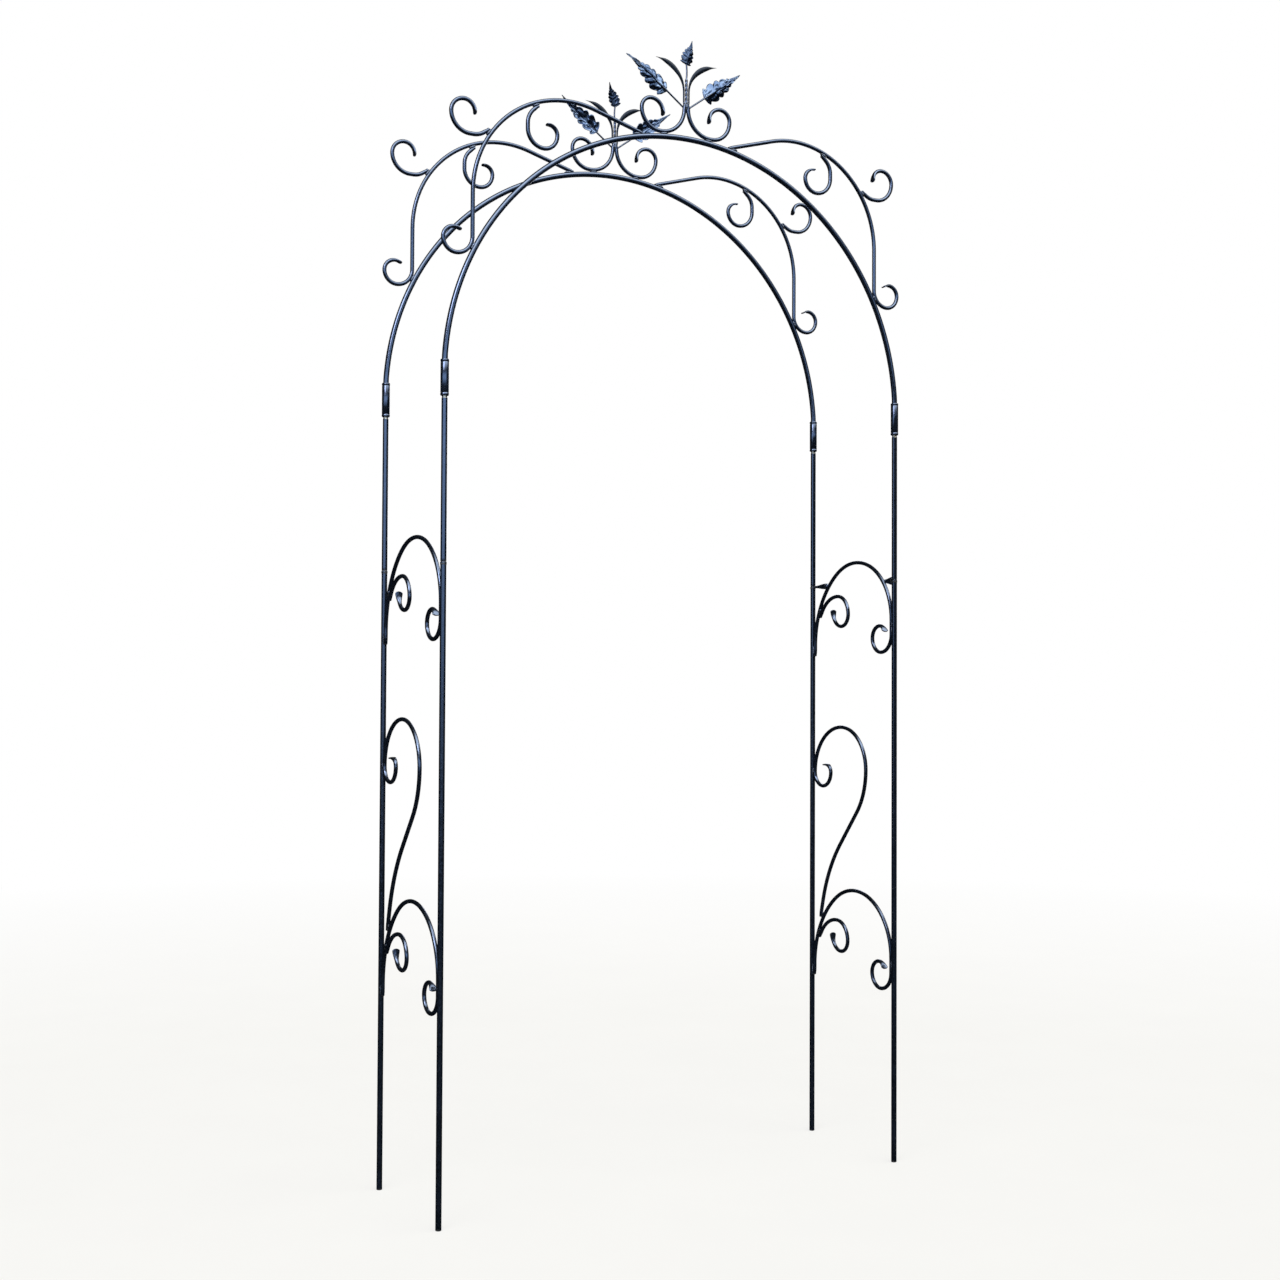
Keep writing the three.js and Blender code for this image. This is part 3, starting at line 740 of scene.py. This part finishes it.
def forged(path, host):
    """Section of a scroll: scarfed at its root and leaning there on its host, which is on its left
    (1) or right (-1), then beaten flat and spread at its tip."""
    def section(distance):
        from_tip = path.length - distance
        beaten = ease(1 - from_tip / TIP_LENGTH)
        scarf = SCARF_THIN + (1 - SCARF_THIN) * ease(distance / SCARF_LENGTH)
        thin = (1 - (1 - TIP_THIN) * beaten) * scarf
        thin *= dome(distance, END_ROUND) * dome(from_tip, END_ROUND)
        spread = 1 + (TIP_SPREAD - 1) * beaten
        spread *= dome(distance, END_ROUND) * dome(from_tip, TIP_ROUND)
        lean = host * (ROD_RADIUS + ROOT_SINK) * (1 - scarf)
        return Section(ROD_RADIUS * thin, ROD_RADIUS * spread, lean, 1 - TIP_SQUARING * beaten)
    return section


def make_scroll(name, body, node, place, path, host):
    """A scroll whose root leans on its host, or runs straight into it where host is 0."""
    rings = sweep(place, path, forged(path, host), TIP_ROUND)
    stand_for(make_piece(name, body, SCROLL_ENAMEL, rings), node)


# A scroll rises from its bow over a crown, drops straight down and curls round beside the bow
vine_curl_x = math.sqrt(
    (beside_bow + VINE_CURL_RADII[0]) ** 2 - (VINE_CURL_HEIGHT - bow_centre[1]) ** 2
)
vine_crown_x = vine_curl_x - VINE_CURL_RADII[0] - VINE_CROWN_RADIUS
vine_start = polar(bow_centre, beside_bow, VINE_WELD_ANGLE)
vine_rise_length = (
    vine_crown_x - VINE_CROWN_RADIUS * sine(VINE_RISE) - vine_start[0]
) / cosine(VINE_RISE)
vine_crown_z = (
    vine_start[1] + vine_rise_length * sine(VINE_RISE) - VINE_CROWN_RADIUS * cosine(VINE_RISE)
)
vine_crown = (vine_crown_x, vine_crown_z)


def vine_path():
    first, second, third = VINE_CURL_RADII
    start = (
        vine_start[0] - VINE_SINK * cosine(VINE_RISE),
        vine_start[1] - VINE_SINK * sine(VINE_RISE),
    )
    return Path(start, VINE_RISE, [
        run(vine_rise_length + VINE_SINK),
        bend(VINE_CROWN_RADIUS, -VINE_RISE - 90),
        run(vine_crown_z - VINE_CURL_HEIGHT),
        bend(first, 90),
        bend(second, 90),
        bend(third, 90 + VINE_TIP_TURN),
        run(TIP_RUN),
    ])


def inner_curl_path():
    first, second, third, fourth = INNER_CURL_RADII
    start = polar(vine_crown, VINE_CROWN_RADIUS - 2 * ROD_RADIUS - ROD_GAP, INNER_CURL_ANGLE)
    return Path(start, -INNER_CURL_ANGLE, [
        bend(first, INNER_CURL_ANGLE - 90),
        run(INNER_CURL_RUN),
        bend(second, -90),
        bend(third, -90),
        bend(fourth, -CURL_TIP_TURN),
        run(TIP_RUN),
    ])


def outer_curl_path():
    first, second, third, fourth = OUTER_CURL_RADII
    start = polar(vine_crown, VINE_CROWN_RADIUS + 2 * ROD_RADIUS + ROD_GAP, OUTER_CURL_ANGLE)
    return Path(start, -OUTER_CURL_ANGLE, [
        bend(first, OUTER_CURL_ANGLE),
        run(OUTER_CURL_RUN),
        bend(second, 90),
        bend(third, 90),
        bend(fourth, CURL_TIP_TURN),
        run(TIP_RUN),
    ])


# A hoop starts beside the back leg, and its crown's arc ends beside the front leg
leg_face = HALF_DEPTH - TUBE_RADIUS - CLEARANCE
beside_leg = leg_face - ROD_RADIUS
hoop_crown_radius = beside_leg + HOOP_CROWN_OFFSET
hoop_shoulder = (
    HOOP_CROWN_OFFSET + hoop_crown_radius * sine(HOOP_BACK_TURN),
    hoop_crown_radius * (cosine(HOOP_BACK_TURN) - 1),
)
hoop_back_radius = (beside_leg - hoop_shoulder[0]) / (1 - sine(HOOP_BACK_TURN))
hoop_back_centre = (
    hoop_shoulder[0] - hoop_back_radius * sine(HOOP_BACK_TURN),
    hoop_shoulder[1] - hoop_back_radius * cosine(HOOP_BACK_TURN),
)


def hoop_path():
    first, second, third, fourth = HOOP_CURL_RADII
    return Path((beside_leg, hoop_back_centre[1] - HOOP_BACK_RUN), 90, [
        run(HOOP_BACK_RUN),
        bend(hoop_back_radius, 90 - HOOP_BACK_TURN),
        bend(hoop_crown_radius, HOOP_BACK_TURN + 90),
        run(HOOP_FRONT_RUN),
        bend(first, 90),
        bend(second, 90),
        bend(third, 90),
        bend(fourth, HOOP_TIP_TURN),
        run(TIP_RUN),
    ])


def branch_curl_path():
    first, second, third, fourth = BRANCH_CURL_RADII
    start = polar(hoop_back_centre, hoop_back_radius - 2 * ROD_RADIUS - ROD_GAP, HOOP_CURL_ANGLE)
    return Path(start, 180 - HOOP_CURL_ANGLE, [
        bend(first, HOOP_CURL_ANGLE),
        bend(second, 90),
        bend(third, 90),
        bend(fourth, 90),
        run(TIP_RUN),
    ])


def s_scroll_path(straight):
    """The S-scroll's path, and the height at which it touches the leg."""
    start = polar(hoop_back_centre, hoop_back_radius + 2 * ROD_RADIUS + ROD_GAP, S_SCROLL_ANGLE)
    foot, waist, shoulder, curl, eye = S_SCROLL_RADII
    rising = [
        run(S_SCROLL_FOOT_RUN),
        bend(foot, S_SCROLL_LEAN - S_SCROLL_HEADING),
        run(straight),
        bend(waist, 90 - S_SCROLL_LEAN),
        bend(shoulder, -90),
    ]
    rise = Path(start, S_SCROLL_HEADING, rising)
    crown_x, crown_y = rise.at(rise.length)[:2]
    reach = beside_leg - crown_x
    path = Path(start, S_SCROLL_HEADING, [
        *rising,
        bend(reach, -90),
        bend(curl, -180),
        bend(eye, -S_SCROLL_TIP_TURN),
        run(TIP_RUN),
    ])
    return path, crown_y - reach


# ----- Welds -----

def bead(spot, length, face):
    """Section of a rippled bead, uneven in its own way on each face (1 or -1) of a joint."""
    def section(distance):
        ripple = 0.86 + RIPPLE_HEIGHT * abs(math.sin(math.pi * distance / RIPPLE_PITCH))
        place_in_noise = Vector((spot[0] * 90, spot[1] * 90 + distance * 300, face * 7))
        uneven = 1 + BEAD_UNEVENNESS * noise.noise(place_in_noise)
        ends = math.sqrt(max(0.02, 1 - (2 * distance / length - 1) ** 2))
        size = BEAD_RADIUS * ripple * uneven * ends
        return Section(size, size)
    return section


def weld(name, body, place, spot, heading, length=BEAD_LENGTH):
    """A bead in the groove on each face of a joint between two bars."""
    back = math.radians(heading)
    start = (spot[0] - length / 2 * math.cos(back), spot[1] - length / 2 * math.sin(back))
    path = Path(start, heading, [run(length)])
    shells = []
    for face in (-1, 1):
        side = place @ Matrix.Translation((0, 0, face * BEAD_OFFSET))
        section = bead(spot, length, face)
        shells.append(sweep(side, path, section, BEAD_RADIUS, BEAD_SIDES, RIPPLE_PITCH / 4))
    return make_piece(name, body, SCROLL_ENAMEL, *shells)


def lump(name, body, centre, size):
    """A rounded blob of weld metal, uneven like one that froze in place."""
    mesh = bmesh.new()
    bmesh.ops.create_icosphere(mesh, subdivisions=4, radius=1)
    for vertex in mesh.verts:
        direction = vertex.co.normalized()
        swell = 1 + COARSE_SWELL * noise.noise(direction * 1.7 + centre * 40)
        swell += FINE_SWELL * noise.noise(direction * 5 + centre * 40)
        vertex.co = centre + Vector(a * b for a, b in zip(direction * swell, size))
    return finish_mesh(name, body, SCROLL_ENAMEL, mesh)


# ----- Finial -----

finial_rod_x = ROD_RADIUS + CLEARANCE
finial_foot_x = finial_rod_x + FINIAL_FOOT_RADIUS
finial_knot = bow_centre[1] + math.sqrt(
    (beside_bow + FINIAL_FOOT_RADIUS) ** 2 - finial_foot_x ** 2
)

def lobe_part(share):
    """How far through its lobe a point on the leaf is, or None on the plain long tip."""
    for start, end in zip(LEAF_NOTCHES, LEAF_NOTCHES[1:]):
        if start <= share < end:
            return (share - start) / (end - start)
    return None


def leaf_half_width(share):
    """Half width at a share of the leaf's length: a smooth outline with forward lobes cut in it."""
    for (start, low), (end, high) in zip(LEAF_OUTLINE, LEAF_OUTLINE[1:]):
        if share <= end:
            width = low + (high - low) * (share - start) / (end - start)
            break
    part = lobe_part(share)
    if part is None:
        return width
    return width * (1 - NOTCH_DEPTH * (1 - math.sin(math.pi * part ** 1.5) ** 0.6))


def leaf_relief(share, across):
    """Height of the pressed pattern: pillowed lobes between grooves, and a midrib."""
    edge = abs(across)
    midrib = MIDRIB_HEIGHT * math.exp(-(edge / MIDRIB_WIDTH) ** 2) * (1 - 0.6 * share)
    part = lobe_part(share)
    if part is None:
        return midrib
    pillow = PILLOW_HEIGHT * (math.sin(math.pi * part) ** 0.8 - 0.6)
    ribs = RIB_HEIGHT * abs(math.sin(3 * math.pi * part))
    return midrib + (pillow + ribs) * min(edge * 2.5, 1.0) * (1 - 0.5 * share)


def leaf_sheet(place, length, half_width, fold, face, seed):
    """Grid of points over a leaf that is folded along its midrib, with face 1 or -1 its front."""
    rows = []
    for row in range(LEAF_ROWS + 1):
        share = row / LEAF_ROWS
        line = []
        for column in range(-LEAF_COLUMNS, LEAF_COLUMNS + 1):
            across = column / LEAF_COLUMNS
            edge = abs(across)
            y = across * half_width * leaf_half_width(share)
            x = length * (share + LEAF_SWEEP * edge ** 1.3 * math.sin(math.pi * share))
            height = length * leaf_relief(share, across)
            height -= fold * abs(y) * (0.7 + 0.6 * edge)
            height -= length * LEAF_ARCH * (2 * share - 0.7) ** 2
            crumple = noise.noise(Vector((share * 8, across * 3, seed)))
            height += length * CRUMPLE_HEIGHT * crumple
            line.append(place @ Vector((x, y, face * height)))
        rows.append(line)
    return rows


def make_leaf(name, body, node, material, place, length, half_width, fold, face, seed):
    """A pressed leaf that grows along its place's X, from a skin given the plate's thickness."""
    mesh = bmesh.new()
    sheet = leaf_sheet(place, length, half_width, fold, face, seed)
    rows = [[mesh.verts.new(point) for point in line] for line in sheet]
    for lower, upper in zip(rows, rows[1:]):
        for column in range(len(lower) - 1):
            mesh.faces.new((lower[column], lower[column + 1], upper[column + 1], upper[column]))
    piece = finish_mesh(name, body, material, mesh, math.pi)
    thicken = piece.modifiers.new("thickness", "SOLIDIFY")
    thicken.thickness = LEAF_THICKNESS
    thicken.offset = 0
    return stand_for(piece, node)


def finial_scroll_path():
    first, second, third = FINIAL_CURL_RADII
    return Path((finial_rod_x, FINIAL_ROD_TOP), -90, [
        run(FINIAL_ROD_TOP),
        bend(FINIAL_FOOT_RADIUS, 90),
        run(FINIAL_RUN),
        bend(first, 90),
        bend(second, 90),
        bend(third, 90),
        run(TIP_RUN),
    ])


def make_blade(name, body, node, place):
    """A slim pointed blade with a sharp rib, springing up beside the stem and arching outward."""
    start = (STEM_RADIUS + BLADE_ROOT + BLADE_STANDOFF, FINIAL_ROD_TOP + CLEARANCE)
    arch_radius, arch_turn = BLADE_ARCH
    droop_radius, droop_turn = BLADE_DROOP
    path = Path(start, 90, [
        run(BLADE_RISE),
        bend(arch_radius, -arch_turn),
        bend(droop_radius, -droop_turn),
        run(BLADE_TIP_RUN),
    ])

    def section(distance):
        along = distance / path.length
        swell = math.sin(math.pi * along ** BLADE_BELLY) ** 2
        width = BLADE_ROOT + (BLADE_HALF_WIDTH - BLADE_ROOT) * swell
        point = min(1.0, BLADE_TIP_WIDTH + 5 * (1 - along))
        point *= dome(path.length - distance, BLADE_TIP_ROUND)
        return Section(width * point, BLADE_HALF_THICKNESS * point, power=BLADE_SHARPNESS)

    rings = sweep(place, path, section, BLADE_TIP_ROUND, BLADE_SIDES, BLADE_STEP)
    stand_for(make_piece(name, body, BLADE_ENAMEL, rings, sharp=BLADE_SHARP_ANGLE), node)


def make_stalk(name, body, place):
    """Round stalk that runs from the knot to the leaf and tapers out along its back."""
    blade_start = STALK_SINK + LEAF_STALK
    path = Path((-STALK_SINK, 0), 0, [run(blade_start), run(STALK_RUN_ON)])

    def section(distance):
        taper = 1 - STALK_TAPER * ease((distance - blade_start) / STALK_RUN_ON)
        size = LEAF_STALK_RADIUS * taper * dome(path.length - distance, END_ROUND)
        return Section(size, size)

    rings = sweep(place, path, section, END_ROUND, PIN_SIDES, STALK_STEP)
    make_piece(name, body, SCROLL_ENAMEL, rings)


def make_stem(name, body, node, place):
    """Square bar twisted a quarter turn in each bead's length, with a plain wire above it."""
    foot = FINIAL_ROD_TOP + CLEARANCE
    twisted = STEM_BEADS * BEAD_PITCH
    rings = []
    for step in range(STEM_STEPS + 1):
        height = STEM_HEIGHT * step / STEM_STEPS
        thinning = ease((height - twisted) / (BEAD_PITCH / 2))
        half = STEM_WAIST * (1 - thinning) + STEM_WIRE_RADIUS * thinning
        bulge = STEM_SQUARENESS + (1 - STEM_SQUARENESS) * thinning
        along_wire = (height - twisted) / (STEM_HEIGHT - twisted)
        sway = WIRE_SWAY * thinning * math.sin(along_wire * math.pi)
        centre = Vector((sway, foot + height, 0))
        twist = height / BEAD_PITCH * math.pi / 2
        section = Section(half, half, power=bulge)
        rings.append(section_ring(place, centre, RIGHT, section, STEM_SIDES, twist))
    stand_for(make_piece(name, body, SCROLL_ENAMEL, rings), node)


def make_finial(row, place):
    """The middle of a finial: stem, bud and the welds at the knot."""
    body = f"{row}_bow"
    knot = place @ Matrix.Translation((0, finial_knot, 0))
    make_stem(f"{row}_finial_twisted_stem", body, f"finial_stem_{row}", knot)
    weld(f"{row}_finial_rods_weld", body, knot, (0, FINIAL_ROD_TOP / 2), 90)
    lump(f"{row}_finial_knot_weld", body, knot @ Vector((0, FINIAL_ROD_TOP, 0)), KNOT_SIZE)
    base = knot @ Matrix.Translation((0, FINIAL_ROD_TOP + STEM_HEIGHT + 2 * CLEARANCE, 0))
    bud = base @ Matrix.Rotation(math.radians(BUD_ANGLE), 4, "Z")
    make_leaf(
        f"{row}_finial_bud_leaf", body, f"finial_bud_{row}", BUD_ENAMEL, bud,
        BUD_LENGTH, BUD_HALF_WIDTH, BUD_FOLD, 1, BUD_SEED,
    )


def make_finial_half(row, side, place):
    """One side of a finial: scroll, blade, and leaf on its stalk. The leaf's front faces out."""
    end = f"{row}_{side}"
    body = f"{row}_bow"
    knot = place @ Matrix.Translation((0, finial_knot, 0))
    scroll = finial_scroll_path()
    make_scroll(f"{end}_finial_rod", body, f"finial_scroll_{end}", knot, scroll, -1)
    foot = math.degrees(math.atan2(finial_foot_x, finial_knot - bow_centre[1]))
    spot = polar(bow_centre, bow_radius + TUBE_RADIUS, foot)
    weld(f"{end}_finial_weld", body, place, spot, -foot)
    make_blade(f"{end}_finial_crescent", body, f"finial_blade_{end}", knot)
    reach = finial_rod_x + ROD_RADIUS + LEAF_STALK_RADIUS
    root = knot @ Matrix.Translation((reach, FINIAL_ROD_TOP / 2, 0))
    stalk = root @ Matrix.Rotation(math.radians(LEAF_ANGLE), 4, "Z")
    make_stalk(f"{end}_finial_stalk", body, stalk)
    outward = -1 if row == "front" else 1
    face = 1 if (stalk.to_3x3() @ UP).y * outward > 0 else -1
    tip = stalk @ Matrix.Translation((LEAF_STALK, 0, 0))
    make_leaf(
        f"{end}_finial_pressed_leaf", body, f"finial_leaf_{end}", LEAF_ENAMEL, tip,
        LEAF_LENGTH, LEAF_HALF_WIDTH, LEAF_FOLD, face, LEAF_SEEDS[side],
    )


# ----- Stays, arches and ladders -----

def make_stay(name, node, place, height, start, end, radii):
    """A tapered pin from a leg to the upper hoop, with a dab of weld at each end."""
    onward = 1 if end > start else -1
    path = Path((start, height), 0 if end > start else 180, [run(abs(end - start))])
    leg_radius, hoop_radius = radii

    def section(distance):
        size = leg_radius + (hoop_radius - leg_radius) * ease(distance / path.length)
        size *= dome(distance, STAY_ROUND) * dome(path.length - distance, STAY_ROUND)
        return Section(STAY_STRETCH * size, size)

    rings = sweep(place, path, section, STAY_ROUND, PIN_SIDES, STAY_STEP)
    stand_for(make_piece(name, "side_ladders", SCROLL_ENAMEL, rings), node)
    # The leg's weld is below the joint and within the tube's wall, so that the upper leg can lift.
    leg_dab = Vector(STAY_DAB) * leg_radius
    leg_dab.y = (TUBE_RADIUS - BORE_RADIUS) / LARGEST_SWELL
    leg_dab.z /= 2
    leg_spot = place @ Vector((start, height - LARGEST_SWELL * leg_dab.z, 0))
    lump(f"{name}_leg_weld", "side_ladders", leg_spot, leg_dab)
    hoop_spot = place @ Vector((end + onward * hoop_radius, height, 0))
    lump(f"{name}_hoop_weld", "side_ladders", hoop_spot, Vector(STAY_DAB) * hoop_radius)


def make_stays(side, x):
    """The pins on either side of an upper hoop, which end a little short of its centre line."""
    crown = LADDERS[side]["upper"]
    place = plane(BACKWARD, Vector((x, 0, crown)))
    height = STAY_HEIGHT - crown
    reach = math.sqrt(hoop_crown_radius ** 2 - (hoop_crown_radius + height) ** 2)
    end = HOOP_CROWN_OFFSET - reach - FRONT_STAY["standoff"]
    radii = FRONT_STAY["radii"]
    make_stay(f"{side}_front_stay", "hoop_stay_front", place, height, -leg_face, end, radii)
    reach = math.sqrt(hoop_back_radius ** 2 - (hoop_back_centre[1] - height) ** 2)
    end = hoop_back_centre[0] + reach + BACK_STAY["standoff"]
    radii = BACK_STAY["radii"]
    make_stay(f"{side}_back_stay", "hoop_stay_back", place, height, leg_face, end, radii)


def make_arch(row, y, facing):
    """One bow with its finial, and on each shoulder a branching scroll and its welds."""
    middle = plane(facing, Vector((0, y, 0)))
    make_bow(row, middle)
    make_finial(row, middle)
    body = f"{row}_bow"
    beside_tube = bow_radius + TUBE_RADIUS
    curl = math.degrees(math.atan2(vine_curl_x, VINE_CURL_HEIGHT - bow_centre[1]))
    outer_root = VINE_CROWN_RADIUS + ROD_RADIUS + ROD_GAP / 2
    inner_root = VINE_CROWN_RADIUS - ROD_RADIUS - ROD_GAP / 2
    root_angle = VINE_WELD_ANGLE + VINE_WELD_SHIFT
    inner_angle = INNER_CURL_ANGLE + CURL_WELD_SHIFT
    outer_angle = OUTER_CURL_ANGLE + CURL_WELD_SHIFT
    joints = {
        "root": (polar(bow_centre, beside_tube, root_angle), VINE_WELD_HEADING),
        "curl": (polar(bow_centre, beside_tube, curl), -curl),
        "inner": (polar(vine_crown, inner_root, inner_angle), -INNER_CURL_ANGLE - INNER_WELD_TURN),
        "outer": (polar(vine_crown, outer_root, outer_angle), -OUTER_CURL_ANGLE),
    }
    for side, outward in (("left", -RIGHT), ("right", RIGHT)):
        end = f"{row}_{side}"
        half = plane(outward, Vector((0, y, 0)))
        inner = inner_curl_path()
        outer = outer_curl_path()
        make_scroll(f"{end}_vine", body, f"vine_{end}", half, vine_path(), 0)
        make_scroll(f"{end}_inner_curl", body, f"vine_inner_curl_{end}", half, inner, 1)
        make_scroll(f"{end}_outer_curl", body, f"vine_outer_curl_{end}", half, outer, -1)
        make_finial_half(row, side, half)
        for joint, (spot, heading) in joints.items():
            weld(f"{end}_{joint}_weld", body, half, spot, heading)


def make_ladder(side, x):
    """The scrolls that join two legs of one side: two hoops, each with a branch, and an S-scroll."""
    body = "side_ladders"
    branch_heading = 180 - HOOP_CURL_ANGLE + BRANCH_WELD_SHIFT
    inside_hoop = hoop_back_radius - ROD_RADIUS - ROD_GAP / 2
    branch_root = polar(hoop_back_centre, inside_hoop, HOOP_CURL_ANGLE - BRANCH_WELD_SHIFT)
    joints = {
        "foot": ((leg_face, hoop_back_centre[1] - HOOP_BACK_RUN / 2), 90, LONG_BEAD),
        "front": ((-leg_face, -hoop_crown_radius - HOOP_FRONT_RUN / 2), 90, LONG_BEAD),
        "branch": (branch_root, branch_heading, BEAD_LENGTH),
    }
    for level in ("upper", "lower"):
        end = f"{level}_{side}"
        place = plane(BACKWARD, Vector((x, 0, LADDERS[side][level])))
        branch = branch_curl_path()
        make_scroll(f"{side}_{level}_hoop", body, f"hoop_{end}", place, hoop_path(), -1)
        make_scroll(f"{side}_{level}_branch", body, f"branch_curl_{end}", place, branch, -1)
        for joint, (spot, heading, length) in joints.items():
            weld(f"{side}_{level}_{joint}_weld", body, place, spot, heading, length)
    path, touch = s_scroll_path(LADDERS[side]["straight"])
    make_scroll(f"{side}_s_scroll_rod", body, f"s_scroll_{side}", place, path, 1)
    outside_hoop = hoop_back_radius + ROD_RADIUS + ROD_GAP / 2
    root = polar(hoop_back_centre, outside_hoop, S_SCROLL_ANGLE - S_SCROLL_WELD_SHIFT)
    root_heading = (S_SCROLL_HEADING + 180 - S_SCROLL_ANGLE) / 2
    weld(f"{side}_s_scroll_root_weld", body, place, root, root_heading)
    weld(f"{side}_s_scroll_leg_weld", body, place, (leg_face, touch), 90)


for row, y, facing in (("front", -HALF_DEPTH, RIGHT), ("back", HALF_DEPTH, -RIGHT)):
    make_arch(row, y, facing)
    for side, x in (("left", -HALF_WIDTH), ("right", HALF_WIDTH)):
        make_leg(row, side, Vector((x, y, 0)))
for side, x in (("left", -HALF_WIDTH), ("right", HALF_WIDTH)):
    make_ladder(side, x)
make_stays("right", HALF_WIDTH)


# ----- Floor, lights and camera -----

FLOOR_SIZE = 150
FLOOR_DROP = 0.0005
GROUND_LIGHT = (0.006, 0.006, 0.006, 1)
FRONT_LIGHT = (1.5, 1.9, 2.1, 1)
OVERHEAD_LIGHT = (5.0, 5.0, 4.2, 1)
SKY_FRONT = (-0.42, -0.9, 0)
CAMERA_PLACE = (-2.0859, -3.7727, 1.1572)
CAMERA_TURN = (-28.718, -1.546, 0.262)
CAMERA_LENS = 50.59
SENSOR_WIDTH = 36
# Each lamp: where it stands, what it points at, its width and height, and its power
LAMPS = {
    "key": ((-3.8, -3.0, 4.6), (0, 0, 1.9), (1.6, 1.6), 90),
    "rim": ((3.4, 4.2, 3.2), (0, 0, 1.6), (1.6, 2.6), 39),
}
# The card that the right-hand ladder reflects, as its lowest and highest X and Z, and its Y
FLAG_X = (-0.35, 1.6)
FLAG_Z = (0.02, 2.0)
FLAG_Y = -0.75


def make_floor():
    mesh = bmesh.new()
    bmesh.ops.create_grid(mesh, x_segments=8, y_segments=8, size=FLOOR_SIZE)
    data = bpy.data.meshes.new("floor")
    mesh.to_mesh(data)
    mesh.free()
    data.materials.append(floor_finish())
    floor = bpy.data.objects.new("floor", data)
    floor.location.z = -FLOOR_DROP
    floor.visible_glossy = False
    bpy.context.scene.collection.objects.link(floor)


def area_light(name, place, target, size, power):
    data = bpy.data.lights.new(name, "AREA")
    data.shape = "RECTANGLE"
    data.size, data.size_y = size
    data.energy = power
    light = bpy.data.objects.new(name, data)
    light.visible_camera = False
    light.location = place
    light.rotation_mode = "QUATERNION"
    light.rotation_quaternion = (Vector(target) - Vector(place)).to_track_quat("-Z", "Y")
    bpy.context.scene.collection.objects.link(light)


def make_world():
    """White for the camera. All else gets a soft sky with a bright band ahead and light above."""
    world = bpy.data.worlds.new("studio")
    bpy.context.scene.world = world
    world.use_nodes = True
    shading = Shading(world.node_tree, "Generated")
    split = shading.add("SeparateXYZ")
    shading.feed(split.inputs[0], shading.place)
    toward = shading.add("VectorMath", operation="DOT_PRODUCT")
    shading.feed(toward.inputs[0], shading.place)
    toward.inputs[1].default_value = SKY_FRONT
    above = shading.spread(split.outputs["Z"], -0.06, 0.16)
    below = shading.spread(split.outputs["Z"], 0.33, 0.22)
    front = shading.math("MULTIPLY", below, shading.spread(toward.outputs["Value"], 0.4, 0.75))
    ahead = shading.mix(shading.math("MULTIPLY", above, front), GROUND_LIGHT, FRONT_LIGHT)
    high = shading.spread(split.outputs["Z"], 0.4, 0.62)
    overhead = shading.math("MULTIPLY", high, shading.spread(split.outputs["Y"], 0.0, -0.3))
    level = shading.mix(overhead, ahead, OVERHEAD_LIGHT)
    rays = shading.add("LightPath")
    seen = shading.mix(rays.outputs["Is Camera Ray"], level, WHITE)
    shading.feed(world.node_tree.nodes["Background"].inputs["Color"], seen)


def make_flag():
    """A black card in front of the right-hand ladder. Only reflections see it."""
    mesh = bmesh.new()
    (left, right), (low, high) = FLAG_X, FLAG_Z
    corners = ((left, low), (right, low), (right, high), (left, high))
    mesh.faces.new([mesh.verts.new((x, FLAG_Y, z)) for x, z in corners])
    data = bpy.data.meshes.new("flag")
    mesh.to_mesh(data)
    mesh.free()
    material, shading, shader = new_material("black_card")
    shading.feed(shader.inputs["Base Color"], shading.mix(shading.noise(40), BLACK, BLUE_BLACK))
    shader.inputs["Specular IOR Level"].default_value = 0.0
    data.materials.append(material)
    flag = bpy.data.objects.new("flag", data)
    flag.visible_camera = False
    flag.visible_diffuse = False
    flag.visible_shadow = False
    bpy.context.scene.collection.objects.link(flag)


def make_camera():
    data = bpy.data.cameras.new("camera")
    data.lens = CAMERA_LENS
    data.sensor_width = SENSOR_WIDTH
    camera = bpy.data.objects.new("camera", data)
    yaw, pitch, roll = (math.radians(angle) for angle in CAMERA_TURN)
    level = math.cos(pitch)
    back = Vector((math.sin(yaw) * level, -math.cos(yaw) * level, math.sin(pitch)))
    camera.location = CAMERA_PLACE
    camera.rotation_mode = "QUATERNION"
    camera.rotation_quaternion = back.to_track_quat("Z", "Y") @ Quaternion((0, 0, 1), roll)
    bpy.context.scene.collection.objects.link(camera)
    bpy.context.scene.camera = camera


make_floor()
make_world()
make_flag()
for name, (place, target, size, power) in LAMPS.items():
    area_light(name, place, target, size, power)
make_camera()
bpy.context.scene.view_settings.view_transform = "Standard"
